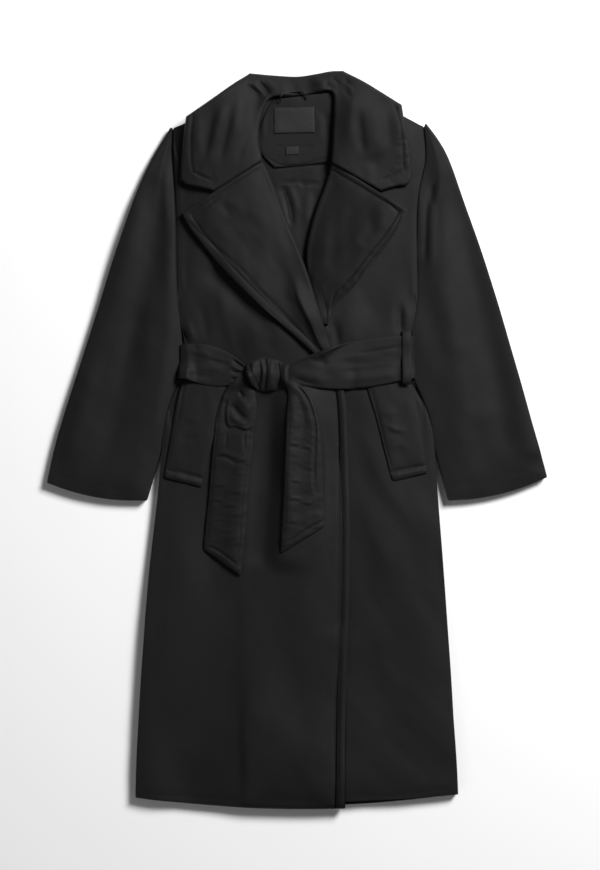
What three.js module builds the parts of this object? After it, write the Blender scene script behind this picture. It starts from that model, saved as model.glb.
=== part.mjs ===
// A padded wrap coat laid flat on its back, front up, belted with a tied knot.
// Millimetres. +X is the wearer's left, +Y runs up the coat to the collar, +Z is up from where it lies.
// Every cloth piece is a closed wall. It is laid, in the order of the real layers, on the pieces under it.

import * as THREE from 'three';

// ---------------------------------------------------------------- driving sizes
const GAP = 0.3; // between cloth layers
const SEAM = 0.6; // between the edges of two pieces sewn side by side
const WALL = {
  shell: 8, // padded back and fronts
  sleeve: 8,
  collar: 7.5,
  lapel: 7,
  belt: 4,
  tail: 5,
  knot: 14,
  welt: 4,
  facing: 2.5,
  lining: 1.2,
  label: 1,
  sizeLabel: 0.8,
  loop: 2.5,
};
const RIM = 4; // width over which a padded wall rounds off to its edge
const STITCH = { inset: 14, spread: 3.2, depth: 2.6 }; // topstitched channel inside an edge
const BELT = { reach: 196.5, tuck: 15, centre: 130, width: 60, radius: 11.7 }; // reach: to the side's fold
const BELT_PRESS = { depth: 2.2, spread: 32 }; // the cloth under the belt is pressed thinner
const ROLL = 4; // radius at which collar and lapels turn over, at mid wall
const BACK = { top: 516, hem: -586, neckFade: 260, hemFade: 200, hemSag: 18 };
const HEM = { from: 0.9, right: 7, left: 6 }; // share of a front's ribs that bow with the hem, and how far
const CUFF = { from: 0.93, bow: 9 };
const NOTCH = { at: 0.62, drop: 27, span: 30 }; // the leaf's lower edge dips to the notch; span: of a row
const KNOT_FOLD = { from: -84, pitch: 5.2, height: 1.8, middle: -49, half: 35, sag: 1.5 };
const PUCKER = { height: 0.9, waves: 60 }; // across the belt's tails; waves: in radians down a tail

// Steps between the rims of each flat piece, along it and across. A piece that isn't soft has a plain rim.
const GRID = {
  back: { rows: 18, columns: 10 },
  front: { rows: 20, columns: 8 },
  sleeve: { rows: 12, columns: 4 },
  lining: { rows: 5, columns: 2, rim: 1.5, soft: false },
  facing: { rows: 4, columns: 4, rim: 2, soft: false },
  label: { rows: 1, columns: 2, rim: 0.8, soft: false },
  sizeLabel: { rows: 0, columns: 1, rim: 0.8, soft: false },
  welt: { rows: 4, columns: 2, soft: false },
  beltBack: { rows: 1, columns: 4, soft: false },
  beltLoop: { rows: 6, columns: 0, rim: 2, soft: false },
  tail: { rows: 18, columns: 3, soft: false },
  knot: { rows: 14, columns: 4, rim: 9 },
  fallBed: { rows: 24, columns: 3 },
};

const COLOUR = { shell: 0x1d1d1f, lining: 0x18181a, label: 0x101012 };

// ---------------------------------------------------------------- tables of the cut
// Side of the body from shoulder to hem: x of the left and of the right edge at a height y.
const SIDES = [
  { y: 560, left: -204, right: 206 },
  { y: 516, left: -204, right: 208 },
  { y: 479, left: -205, right: 213 },
  { y: 448, left: -204, right: 210 },
  { y: 412, left: -202, right: 201 },
  { y: 340, left: -200, right: 198 },
  { y: 280, left: -199, right: 199 },
  { y: 216, left: -196, right: 198 },
  { y: 180, left: -188, right: 188 },
  { y: 137, left: -184, right: 184 },
  { y: 98, left: -184, right: 184 },
  { y: 72, left: -205, right: 205 },
  { y: 40, left: -215, right: 219 },
  { y: -10, left: -222, right: 226 },
  { y: -102, left: -231, right: 233 },
  { y: -218, left: -244, right: 242 },
  { y: -304, left: -251, right: 248 },
  { y: -389, left: -257, right: 254 },
  { y: -475, left: -262, right: 259 },
  { y: -560, left: -266, right: 265 },
  { y: -620, left: -266, right: 265 },
];

// Space between the body's side and the sleeve's inner edge.
const ARM_SPACE = [
  { y: 560, clear: 1.6 },
  { y: 470, clear: 2 },
  { y: 412, clear: 1.8 },
  { y: 360, clear: 1 },
  { y: 300, clear: 0.7 },
  { y: 216, clear: 1 },
  { y: 180, clear: 10.5 },
  { y: 137, clear: 14.2 },
  { y: 98, clear: 14.2 },
  { y: 72, clear: 1.6 },
  { y: 40, clear: 0.8 },
  { y: -10, clear: 0.8 },
  { y: -30, clear: 4 },
  { y: -60, clear: 11 },
  { y: -97, clear: 18 },
  { y: -120, clear: 21 },
];

// Sleeve ribs: outer edge of the left and right sleeve, and the height where the rib meets the inner edge.
const SLEEVE = [
  { leftX: -209, leftY: 515, rightX: 213, rightY: 522, innerY: 511 },
  { leftX: -224, leftY: 492, rightX: 230, rightY: 500, innerY: 484 },
  { leftX: -246, leftY: 452, rightX: 248, rightY: 470, innerY: 446 },
  { leftX: -271, leftY: 393, rightX: 271, rightY: 406, innerY: 386 },
  { leftX: -305, leftY: 294, rightX: 306, rightY: 307, innerY: 283 },
  { leftX: -332, leftY: 205, rightX: 336, rightY: 211, innerY: 180 },
  { leftX: -351, leftY: 145, rightX: 352, rightY: 154, innerY: 122 },
  { leftX: -370, leftY: 86, rightX: 370, rightY: 92, innerY: 60 },
  { leftX: -389, leftY: 26, rightX: 388, rightY: 26, innerY: 2 },
  { leftX: -402, leftY: -22, rightX: 402, rightY: -22, innerY: -46 },
  { leftX: -412, leftY: -69, rightX: 412, rightY: -60, innerY: -98 },
];

// Upper edge of the back: shoulders and neck seam.
const BACK_TOP = [
  { x: -204, y: 512 },
  { x: -178, y: 512 },
  { x: -152, y: 523 },
  { x: -130, y: 542 },
  { x: -90, y: 576 },
  { x: -66, y: 574 },
  { x: -42, y: 562 },
  { x: 16, y: 566 },
  { x: 50, y: 573 },
  { x: 72, y: 578 },
  { x: 96, y: 573 },
  { x: 130, y: 555 },
  { x: 168, y: 530 },
  { x: 208, y: 518 },
];

// Right front, which laps on top: rib from the side at height sideY to its front edge.
const FRONT_RIGHT = [
  { sideY: 513, x: -91, y: 574, bow: -5 },
  { sideY: 492, x: -89, y: 545 },
  { sideY: 464, x: -81, y: 497 },
  { sideY: 432, x: -66, y: 455 },
  { sideY: 396, x: -45, y: 408 },
  { sideY: 345, x: -21.5, y: 346 },
  { sideY: 290, x: 1.5, y: 289 },
  { sideY: 250, x: 13.5, y: 250 },
  { sideY: 215, x: 24.5, y: 214 },
  { sideY: 176, x: 36.5, y: 176 },
  { sideY: 150, x: 46, y: 150 },
  { sideY: 124, x: 65, y: 120 },
  { sideY: 90, x: 77, y: 86 },
  { sideY: 45, x: 82, y: 30 },
  { sideY: -102, x: 87, y: -110 },
  { sideY: -260, x: 86, y: -262 },
  { sideY: -417, x: 81, y: -417 },
  { sideY: -589, x: 79, y: -606 },
];

// Left front, which lies under: from its hidden front edge to the side.
const FRONT_LEFT = [
  { x: 90, y: 576, sideY: 516, bow: 0 },
  { x: 80, y: 545, sideY: 496 },
  { x: 76, y: 500, sideY: 468 },
  { x: 67, y: 452, sideY: 436 },
  { x: 51, y: 402, sideY: 396 },
  { x: 33.5, y: 346, sideY: 345 },
  { x: 25.5, y: 295, sideY: 296 },
  { x: 32, y: 262, sideY: 264 },
  { x: 8, y: 220, sideY: 222 },
  { x: -42, y: 180, sideY: 180 },
  { x: -66, y: 137, sideY: 137 },
  { x: -78, y: 96, sideY: 100 },
  { x: -84, y: 45, sideY: 45 },
  { x: -86, y: -102, sideY: -102 },
  { x: -86, y: -260, sideY: -260 },
  { x: -85, y: -417, sideY: -417 },
  { x: -84, y: -594, sideY: -584 },
];

// Lapels: from the roll line to the outer edge. turn is how far the roll turns under, 1 for half a circle.
const LAPEL_RIGHT = [
  { rollX: -57, rollY: 459, edgeX: -190, edgeY: 373, turn: 1 },
  { rollX: -41, rollY: 425, edgeX: -172, edgeY: 342, turn: 1 },
  { rollX: -11, rollY: 346, edgeX: -127, edgeY: 288, turn: 1 },
  { rollX: 12, rollY: 289, edgeX: -86, edgeY: 244, turn: 1 },
  { rollX: 34, rollY: 218, edgeX: -33, edgeY: 196, turn: 1 },
  { rollX: 47, rollY: 178, edgeX: 5, edgeY: 163, turn: 1 },
  { rollX: 57, rollY: 150, edgeX: 29, edgeY: 141, turn: 0.9 },
];
const LAPEL_LEFT = [
  { rollX: 57, rollY: 458, edgeX: 181, edgeY: 376, turn: 1 },
  { rollX: 50, rollY: 426, edgeX: 171, edgeY: 353, turn: 1 },
  { rollX: 34, rollY: 385, edgeX: 146, edgeY: 318, turn: 1 },
  { rollX: 21, rollY: 340, edgeX: 121, edgeY: 289, turn: 1 },
  { rollX: 14, rollY: 296, edgeX: 100, edgeY: 260, turn: 1 },
  { rollX: 18, rollY: 264, edgeX: 80, edgeY: 243, turn: 0 },
  { rollX: 30, rollY: 222, edgeX: 62, edgeY: 217, turn: 0 },
  { rollX: 40, rollY: 192, edgeX: 51, edgeY: 190, turn: 0 },
];

// Collar, from the gorge of the right leaf round the back of the neck to the gorge of the left leaf.
// roll: neck edge, which is the roll line on the leaves and the neck seam at the back.
// fold: outer edge of a leaf, or the line where the collar turns down behind the shoulder.
// beyond: cloth past the fold. radius: of the fold, at mid wall. turn: how far the roll turns under.
const COLLAR = [
  { rollX: -57, rollY: 461, foldX: -189, foldY: 424, beyond: 0, radius: 13, turn: 1 },
  { rollX: -66, rollY: 490, foldX: -187, foldY: 458, beyond: 0, radius: 13, turn: 1 },
  { rollX: -74, rollY: 522, foldX: -185, foldY: 494, beyond: 0, radius: 13, turn: 1 },
  { rollX: -77, rollY: 550, foldX: -183, foldY: 522, beyond: 0, radius: 4.4, turn: 1 },
  { rollX: -78, rollY: 566, foldX: -145, foldY: 556, beyond: 66, radius: 8, turn: 0.9 },
  { rollX: -76, rollY: 579, foldX: -106, foldY: 585, beyond: 102, radius: 11, turn: 0.15 },
  { rollX: -61, rollY: 580, foldX: -78, foldY: 604, beyond: 122, radius: 7, turn: 0 },
  { rollX: -42, rollY: 567, foldX: -42, foldY: 604, beyond: 124, radius: 4.4, turn: 0 },
  { rollX: -10, rollY: 568, foldX: -8, foldY: 601, beyond: 122, radius: 4.4, turn: 0 },
  { rollX: 20, rollY: 570, foldX: 22, foldY: 604, beyond: 124, radius: 4.4, turn: 0 },
  { rollX: 50, rollY: 577, foldX: 50, foldY: 609, beyond: 126, radius: 4.4, turn: 0 },
  { rollX: 67, rollY: 587, foldX: 80, foldY: 607, beyond: 122, radius: 7, turn: 0 },
  { rollX: 75, rollY: 581, foldX: 106, foldY: 592, beyond: 102, radius: 11, turn: 0.15 },
  { rollX: 73, rollY: 565, foldX: 141, foldY: 571, beyond: 66, radius: 8, turn: 0.9 },
  { rollX: 69, rollY: 545, foldX: 175, foldY: 547, beyond: 0, radius: 4.4, turn: 1 },
  { rollX: 67, rollY: 518, foldX: 186, foldY: 500, beyond: 0, radius: 13, turn: 1 },
  { rollX: 63, rollY: 488, foldX: 188, foldY: 460, beyond: 0, radius: 13, turn: 1 },
  { rollX: 57, rollY: 460, foldX: 186, foldY: 424, beyond: 0, radius: 13, turn: 1 },
];
const BEHIND = { first: 3, last: 14 }; // rows of COLLAR where the collar starts to pass behind the shoulders

// Pieces inside the neck: from the left edge to the right edge, top to bottom.
const FACING = [
  { ax: -38, ay: 560, bx: 66, by: 574 },
  { ax: -54, ay: 532, bx: 64, by: 545 },
  { ax: -61, ay: 500, bx: 62, by: 508 },
  { ax: -56, ay: 470, bx: 62, by: 480 },
  { ax: -36, ay: 452, bx: 58, by: 461 },
];
const LINING = [
  { ax: -50, ay: 445, bx: 62, by: 453 },
  { ax: -42, ay: 400, bx: 52, by: 400 },
  { ax: -30, ay: 345, bx: 40, by: 345 },
  { ax: -8, ay: 300, bx: 34, by: 300 },
  { ax: 2, ay: 275, bx: 28, by: 275 },
];
const LABEL = [
  { ax: -37, ay: 547, bx: 27, by: 548 },
  { ax: -36, ay: 507, bx: 28, by: 508 },
];
const SIZE_LABEL = [
  { ax: -18, ay: 483, bx: 2, by: 484 },
  { ax: -18, ay: 471, bx: 2, by: 472 },
];
const HANGER = [
  { x: -28, y: 556 },
  { x: -26, y: 566 },
  { x: -14, y: 572 },
  { x: 2, y: 574 },
  { x: 13, y: 571 },
  { x: 16, y: 562 },
];

// Pocket welts, inner edge to outer edge, top to bottom.
const WELT_LEFT = [
  { ax: 112, ay: 104, bx: 180, by: 112 },
  { ax: 118, ay: 80, bx: 190, by: 86 },
  { ax: 134, ay: 27, bx: 203, by: 27 },
  { ax: 151, ay: -42, bx: 211, by: -30 },
  { ax: 158, ay: -67, bx: 214, by: -54 },
];
const WELT_RIGHT = [
  { ax: -180, ay: 112, bx: -112, by: 104 },
  { ax: -191, ay: 88, bx: -118, by: 80 },
  { ax: -204, ay: 24, bx: -134, by: 22 },
  { ax: -214, ay: -36, bx: -152, by: -50 },
  { ax: -218, ay: -62, bx: -158, by: -77 },
];

// Belt stretches: lower and upper edge from the knot to the side. bow: how far the edge sags.
const BELT_LEFT = [
  { ax: -14, ay: 94, bx: BELT.reach, by: 101, bow: 13 },
  { ax: -14, ay: 122, bx: BELT.reach, by: 171, bow: -13 },
];
const BELT_RIGHT = [
  { ax: -82, ay: 100, bx: -BELT.reach, by: 101, bow: 12 },
  { ax: -82, ay: 120, bx: -BELT.reach, by: 157, bow: -14 },
];
const BELT_BACK = { low: 101, highRight: 158, highLeft: 163, short: 3 }; // short: of the side's fold
const KNOT = [
  { ax: -84, ay: 107, bx: -84, by: 123 },
  { ax: -74, ay: 90, bx: -72, by: 131 },
  { ax: -56, ay: 80, bx: -54, by: 136 },
  { ax: -34, ay: 81, bx: -34, by: 132 },
  { ax: -14, ay: 87, bx: -13, by: 122 },
];
const TAIL_LONG = [
  { ax: -96, ay: 104, bx: -72, by: 110 },
  { ax: -114, ay: 86, bx: -70, by: 84 },
  { ax: -129, ay: 51, bx: -66, by: 52 },
  { ax: -136, ay: 6, bx: -71, by: 14 },
  { ax: -141, ay: -45, bx: -76, by: -42 },
  { ax: -145, ay: -97, bx: -81, by: -100 },
  { ax: -150, ay: -140, bx: -86, by: -165 },
  { ax: -154, ay: -180, bx: -93, by: -222 },
];
const TAIL_SHORT = [
  { ax: -24, ay: 100, bx: -4, by: 98 },
  { ax: -14, ay: 76, bx: 17, by: 78 },
  { ax: -16, ay: 45, bx: 31, by: 50 },
  { ax: -17, ay: 6, bx: 41, by: 9 },
  { ax: -19, ay: -38, bx: 45, by: -38 },
  { ax: -21, ay: -90, bx: 45, by: -85 },
  { ax: -24, ay: -142, bx: 45, by: -116 },
  { ax: -26, ay: -185, bx: 44, by: -141 },
];
const BELT_LOOP = [
  { ax: 174, ay: 92, bx: 187, by: 92 },
  { ax: 174, ay: 180, bx: 187, by: 180 },
];

// ---------------------------------------------------------------- small maths
const mix = (a, b, t) => a + (b - a) * t;
const bump = (x, centre, width) => Math.exp(-(((x - centre) / width) ** 2));
const smoothStep = (x) => THREE.MathUtils.smoothstep(x, 0, 1);
/** How full a rounded rim is at the share t of its width. */
const bullnose = (t) => (t >= 1 ? 1 : Math.sqrt(Math.max(0, 1 - (1 - t) ** 2)));

/** A fair curve through the points (xs, ys), xs in either order. */
function fair(xs, ys) {
  const down = xs[0] > xs[xs.length - 1];
  const x = down ? [...xs].reverse() : xs;
  const y = down ? [...ys].reverse() : ys;
  const last = x.length - 1;
  const slope = x.map((_, k) => {
    const a = Math.max(0, k - 1);
    const b = Math.min(last, k + 1);
    return (y[b] - y[a]) / (x[b] - x[a]);
  });
  return (at) => {
    let k = 0;
    while (k < last - 1 && at > x[k + 1]) k += 1;
    const span = x[k + 1] - x[k];
    const t = THREE.MathUtils.clamp((at - x[k]) / span, 0, 1);
    const t2 = t * t;
    const t3 = t2 * t;
    return (
      (2 * t3 - 3 * t2 + 1) * y[k] +
      (t3 - 2 * t2 + t) * span * slope[k] +
      (3 * t2 - 2 * t3) * y[k + 1] +
      (t3 - t2) * span * slope[k + 1]
    );
  };
}

/** The column `key` of a table as a function of the column `at`. */
const byColumn = (table, at, key) => fair(table.map((row) => row[at]), table.map((row) => row[key]));

/** The column `key` of a table as a function of the share 0 to 1 of the way down it. */
const byShare = (table, key) =>
  fair(table.map((_, k) => k / (table.length - 1)), table.map((row) => row[key] ?? 0));

const sideLeft = byColumn(SIDES, 'y', 'left');
const sideRight = byColumn(SIDES, 'y', 'right');
const armSpace = byColumn(ARM_SPACE, 'y', 'clear');
const backTop = byColumn(BACK_TOP, 'x', 'y');

// ---------------------------------------------------------------- what a piece lies on
/** Upper surface of the pieces laid so far. */
class Stack {
  constructor(cell = 16) {
    this.cell = cell;
    this.cells = new Map();
  }

  add(geometry) {
    const p = geometry.getAttribute('position');
    const index = geometry.getIndex();
    for (let k = 0; k < index.count; k += 3) {
      const corner = [0, 1, 2].map((c) => {
        const i = index.getX(k + c);
        return { x: p.getX(i), y: p.getY(i), z: p.getZ(i) };
      });
      const [a, b, c] = corner;
      const area = (b.x - a.x) * (c.y - a.y) - (c.x - a.x) * (b.y - a.y);
      if (area > 1e-6) this.file([a, b, c, area]);
    }
  }

  file(triangle) {
    const xs = triangle.slice(0, 3).map((q) => Math.floor(q.x / this.cell));
    const ys = triangle.slice(0, 3).map((q) => Math.floor(q.y / this.cell));
    for (let i = Math.min(...xs); i <= Math.max(...xs); i += 1) {
      for (let j = Math.min(...ys); j <= Math.max(...ys); j += 1) {
        const key = `${i},${j}`;
        if (!this.cells.has(key)) this.cells.set(key, []);
        this.cells.get(key).push(triangle);
      }
    }
  }

  /** Height of the topmost surface over (x, y); 0 is the bare surface. */
  at(x, y) {
    let z = 0;
    const list = this.cells.get(`${Math.floor(x / this.cell)},${Math.floor(y / this.cell)}`) ?? [];
    for (const [a, b, c, area] of list) {
      const v = ((x - a.x) * (c.y - a.y) - (c.x - a.x) * (y - a.y)) / area;
      const w = ((b.x - a.x) * (y - a.y) - (x - a.x) * (b.y - a.y)) / area;
      if (v >= 0 && w >= 0 && v + w <= 1) z = Math.max(z, a.z + v * (b.z - a.z) + w * (c.z - a.z));
    }
    return z;
  }

  /** The highest surface within `reach` of (x, y). */
  near(x, y, reach) {
    let z = this.at(x, y);
    for (let k = 0; k < 8; k += 1) {
      const angle = (k * Math.PI) / 4;
      z = Math.max(z, this.at(x + reach * Math.cos(angle), y + reach * Math.sin(angle)));
    }
    return z;
  }
}

/** Lowers a grid of plan points onto the stack and gives its underside, softened over steps. */
function drape(plan, stack, reach = 3) {
  const soften = 6;
  const step = 4;
  const rows = plan.length;
  const columns = plan[0].length;
  const over = (x, y) => {
    const z = stack.near(x, y, reach);
    return z > 0 ? z + GAP : 0;
  };
  const ground = plan.map((row) => row.map((q) => over(q.x, q.y)));
  let base = ground.map((row) => [...row]);
  for (let pass = 0; pass < soften; pass += 1) {
    base = base.map((row, i) =>
      row.map((z, j) => {
        const beside = [base[i - 1]?.[j], base[i + 1]?.[j], row[j - 1], row[j + 1]];
        const around = beside.filter((q) => q !== undefined);
        const mean = around.reduce((sum, q) => sum + q, 0) / around.length;
        return Math.max(ground[i][j], mix(z, mean, 0.5));
      }),
    );
  }
  const clear = (i, j, offsets, firm) => {
    const corners = offsets.map(([m, n]) => ({ q: plan[i + m][j + n], row: base[i + m], at: j + n }));
    const [p, q, r] = corners.map((corner) => corner.q);
    const longest = Math.max(Math.hypot(p.x - q.x, p.y - q.y), Math.hypot(p.x - r.x, p.y - r.y));
    const count = Math.max(1, Math.ceil(longest / step));
    for (let s = 0; s <= count; s += 1) {
      for (let t = 0; t <= count - s; t += 1) {
        const w = [1 - (s + t) / count, s / count, t / count];
        const sum = (value) => corners.reduce((total, corner, n) => total + w[n] * value(corner), 0);
        const short = over(sum((k) => k.q.x), sum((k) => k.q.y)) - sum((k) => k.row[k.at]);
        const power = firm ? 1 : w[0] ** 2 + w[1] ** 2 + w[2] ** 2;
        if (short > 1e-3) corners.forEach((k, n) => (k.row[k.at] += (short * (firm ? 1 : w[n])) / power));
      }
    }
  };
  for (const firm of [false, false, false, true]) {
    for (let i = 0; i < rows - 1; i += 1) {
      for (let j = 0; j < columns - 1; j += 1) {
        clear(i, j, [[0, 0], [1, 0], [1, 1]], firm);
        clear(i, j, [[0, 0], [1, 1], [0, 1]], firm);
      }
    }
  }
  return base;
}

// ---------------------------------------------------------------- walls
/** A closed wall between two sheets of the same grid. Points that the sheets share close its rim. */
function wall(cells) {
  const positions = [];
  const seen = new Map();
  const number = (cell) => {
    if (!seen.has(cell)) {
      const top = positions.length / 3;
      positions.push(cell.top.x, cell.top.y, cell.top.z);
      const shut = cell.top.distanceTo(cell.bottom) < 1e-3;
      if (!shut) positions.push(cell.bottom.x, cell.bottom.y, cell.bottom.z);
      seen.set(cell, { top, bottom: shut ? top : top + 1 });
    }
    return seen.get(cell);
  };
  const index = [];
  const face = (a, b, c) => {
    if (a === b || b === c || a === c) return;
    const [p, q, r] = [a, b, c].map(number);
    index.push(p.top, q.top, r.top, p.bottom, r.bottom, q.bottom);
  };
  for (let i = 0; i < cells.length - 1; i += 1) {
    for (let j = 0; j < cells[i].length - 1; j += 1) {
      const [a, b, c, d] = [cells[i][j], cells[i + 1][j], cells[i + 1][j + 1], cells[i][j + 1]];
      if (a && b && c && d) {
        face(a, b, c);
        face(a, c, d);
      }
    }
  }
  const geometry = new THREE.BufferGeometry();
  geometry.setAttribute('position', new THREE.Float32BufferAttribute(positions, 3));
  geometry.setIndex(index);
  return faceOut(geometry);
}

/** Turns a closed mesh inside out if its volume is negative. */
function faceOut(geometry) {
  const p = geometry.getAttribute('position');
  const index = geometry.getIndex();
  const at = (k) => new THREE.Vector3().fromBufferAttribute(p, index.getX(k));
  let volume = 0;
  for (let k = 0; k < index.count; k += 3) volume += at(k).dot(at(k + 1).cross(at(k + 2)));
  if (volume < 0) {
    for (let k = 0; k < index.count; k += 3) {
      const second = index.getX(k + 1);
      index.setX(k + 1, index.getX(k + 2));
      index.setX(k + 2, second);
    }
  }
  geometry.computeVertexNormals();
  return geometry;
}

/** Distances along a length: close together at rims and stitched channels, evenly spread between.
 *  A soft rim has one more step than a plain one. */
function spread(length, count, rim, startStitch, endStitch, soft = true) {
  const near = (stitch) => {
    const ends = soft ? [0, 0.3 * rim, rim] : [0, rim];
    if (stitch) ends.push(stitch - STITCH.spread, stitch, stitch + STITCH.spread);
    const scale = Math.min(1, (0.42 * length) / ends[ends.length - 1]);
    return ends.map((d) => d * scale);
  };
  const head = near(startStitch);
  const tail = near(endStitch).map((d) => length - d).reverse();
  const first = head[head.length - 1];
  const last = tail[0];
  const middle = Array.from({ length: count }, (_, k) => mix(first, last, (k + 1) / (count + 1)));
  return [...head, ...middle, ...tail];
}

/** The plan of a panel between two long edges, with the distances of each point from its four edges. */
function planOf(spec) {
  const { from, to, bow = () => 0, shape = () => [0, 0] } = spec;
  const { rows, columns, rim = RIM, stitch = {}, soft } = spec;
  const fine = 60;
  const middle = Array.from({ length: fine + 1 }, (_, k) => {
    const [a, b] = [from(k / fine), to(k / fine)];
    return [mix(a[0], b[0], 0.5), mix(a[1], b[1], 0.5)];
  });
  const run = [0];
  for (let k = 1; k <= fine; k += 1) {
    run.push(run[k - 1] + Math.hypot(middle[k][0] - middle[k - 1][0], middle[k][1] - middle[k - 1][1]));
  }
  const length = run[fine];
  const shareAt = (d) => {
    let k = 1;
    while (k < fine && run[k] < d) k += 1;
    return (k - 1 + (d - run[k - 1]) / (run[k] - run[k - 1])) / fine;
  };
  return spread(length, rows, rim, stitch.start, stitch.end, soft).map((s) => {
    const v = THREE.MathUtils.clamp(shareAt(s), 0, 1);
    const [a, b] = [from(v), to(v)];
    const width = Math.hypot(b[0] - a[0], b[1] - a[1]);
    const normal = [-(b[1] - a[1]) / width, (b[0] - a[0]) / width];
    return spread(width, columns, rim, stitch.from, stitch.to, soft).map((d) => {
      const u = d / width;
      const arch = bow(v) * 4 * u * (1 - u);
      const [dx, dy] = shape(u, s, length);
      return {
        x: mix(a[0], b[0], u) + arch * normal[0] + dx,
        y: mix(a[1], b[1], u) + arch * normal[1] + dy,
        u,
        v,
        rimShare: Math.min(
          Math.min(d, width - d) / Math.min(rim, 0.42 * width),
          Math.min(s, length - s) / Math.min(rim, 0.42 * length),
        ),
        toStitch: Math.min(
          ...[
            [stitch.from, d],
            [stitch.to, width - d],
            [stitch.start, s],
            [stitch.end, length - s],
          ].map(([inset, distance]) => (inset ? distance - inset : Infinity)),
        ),
      };
    });
  });
}

/** Depth of the topstitched channel at a signed distance from its line. */
const channel = (d) => (Number.isFinite(d) ? STITCH.depth * bump(d, 0, STITCH.spread) : 0);

/** A panel laid flat on the stack. */
function panel(spec, stack) {
  const { thick, relief = () => 0, reach } = spec;
  const plan = planOf(spec);
  const base = drape(plan, stack, reach);
  const cells = plan.map((row, i) =>
    row.map((q, j) => {
      const full = q.rimShare <= 1e-6 ? 0 : bullnose(q.rimShare);
      const extra = (relief(q.x, q.y, q.u, q.v) - channel(q.toStitch)) * full;
      const middle = base[i][j] + thick / 2;
      return {
        top: new THREE.Vector3(q.x, q.y, middle + (thick / 2) * full + extra),
        bottom: new THREE.Vector3(q.x, q.y, middle - (thick / 2) * full),
      };
    }),
  );
  return wall(cells);
}

/** Edges of a panel from a table with columns ax, ay, bx, by and bow. */
function fromTable(table) {
  const [ax, ay, bx, by, bow] = ['ax', 'ay', 'bx', 'by', 'bow'].map((key) => byShare(table, key));
  return { from: (v) => [ax(v), ay(v)], to: (v) => [bx(v), by(v)], bow };
}

/** Gives each cell of a sheet its two faces, half a wall either side of it along its lean or its normal. */
function thicken(grid) {
  const normal = new Map();
  const points = grid.flat().filter(Boolean);
  points.forEach((cell) => normal.set(cell, new THREE.Vector3()));
  const add = (a, b, c) => {
    const across = b.mid.clone().sub(a.mid).cross(c.mid.clone().sub(a.mid));
    [a, b, c].forEach((cell) => normal.get(cell).add(across));
  };
  for (let i = 0; i < grid.length - 1; i += 1) {
    for (let j = 0; j < grid[i].length - 1; j += 1) {
      const [a, b, c, d] = [grid[i][j], grid[i + 1][j], grid[i + 1][j + 1], grid[i][j + 1]];
      if (a && b && c && d) {
        add(a, b, c);
        add(a, c, d);
      }
    }
  }
  normal.forEach((n, cell) => {
    if (cell.lean) n.copy(cell.lean);
    n.normalize().multiplyScalar(cell.half);
    cell.top = cell.mid.clone().add(n);
    cell.bottom = cell.mid.clone().sub(n);
  });
  return wall(grid);
}

/** The direction that leans from upright towards `out` by an angle. */
const leaning = (out, angle) =>
  new THREE.Vector3(out.x * Math.sin(angle), out.y * Math.sin(angle), Math.cos(angle));

/** A strip that starts at a point and turns under through an angle, for a roll. Nearest point last. */
function rolled(point, out, angle, half, lengthAlong) {
  const shares = [1, 0.88, 0.6, 0.3];
  const rimShare = 0.24;
  return shares.map((share) => {
    const s = share * lengthAlong;
    const curve = angle / lengthAlong;
    const forward = angle > 1e-3 ? Math.sin(curve * s) / curve : s;
    const down = angle > 1e-3 ? (1 - Math.cos(curve * s)) / curve : 0;
    return {
      mid: new THREE.Vector3(point.x + out.x * forward, point.y + out.y * forward, point.z - down),
      half: half * bullnose((1 - share) / rimShare),
      lean: leaning(out, angle * share),
    };
  });
}

/**
 * A wall whose sections lie on the stack and turn under past one or both ends of their flat part.
 * A section holds: near and far, the ends of its flat part; roll, the angle it turns under past near, or
 * undefined for a plain edge; beyond, the cloth past far, with its out direction, radius and back direction;
 * under, the part of it that lies underneath, where that is what is known;
 * shape, how far its points lie up the coat from the straight line between near and far; toStitch, its
 * distance from a channel that runs along it; full, how full the wall is at this section; shut, true where
 * the cloth beyond the fold starts from a point.
 */
function turnedPanel(sections, { thick, columns, stitch = {}, stack, reach, soft = true }) {
  const half = thick / 2;
  const plan = sections.map((section) => {
    const { near, far } = section;
    const width = near.distanceTo(far);
    const all = spread(width, columns, RIM, 0, stitch.far, soft);
    const kept = section.roll === undefined ? all : [0, ...all.slice(soft ? 3 : 2)];
    return kept.map((d) => {
      const q = near.clone().lerp(far, d / width);
      const shift = section.shape ? section.shape(d / width) : 0;
      const toNear = section.roll === undefined ? d : Infinity;
      const toFar = section.beyond > 0 ? Infinity : width - d;
      const rim = Math.min(RIM, 0.42 * width);
      return {
        x: q.x,
        y: q.y + shift,
        full: Math.min(section.full, bullnose(Math.min(toNear, toFar) / rim)),
        toStitch: Math.min(stitch.far ? width - d - stitch.far : Infinity, section.toStitch ?? Infinity),
      };
    });
  });
  const base = drape(plan, stack, reach);
  const grid = sections.map((section, i) => {
    const flat = plan[i].map((q, j) => {
      const full = q.full < 1e-3 ? 0 : q.full;
      const sunk = channel(q.toStitch) * full;
      return {
        mid: new THREE.Vector3(q.x, q.y, base[i][j] + half - sunk / 2),
        half: half * full - sunk / 2,
        lean: new THREE.Vector3(0, 0, 1),
      };
    });
    const cells = [];
    if (section.roll !== undefined) {
      const out = section.near.clone().sub(section.far).normalize();
      const start = new THREE.Vector3(flat[0].mid.x, flat[0].mid.y, base[i][0] + half);
      cells.push(...rolled(start, out, section.roll, half * section.full, Math.PI * ROLL));
    }
    cells.push(...flat);
    cells.push(...pastFold(section, flat[flat.length - 1], half));
    return cells;
  });
  return thicken(grid);
}

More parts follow.
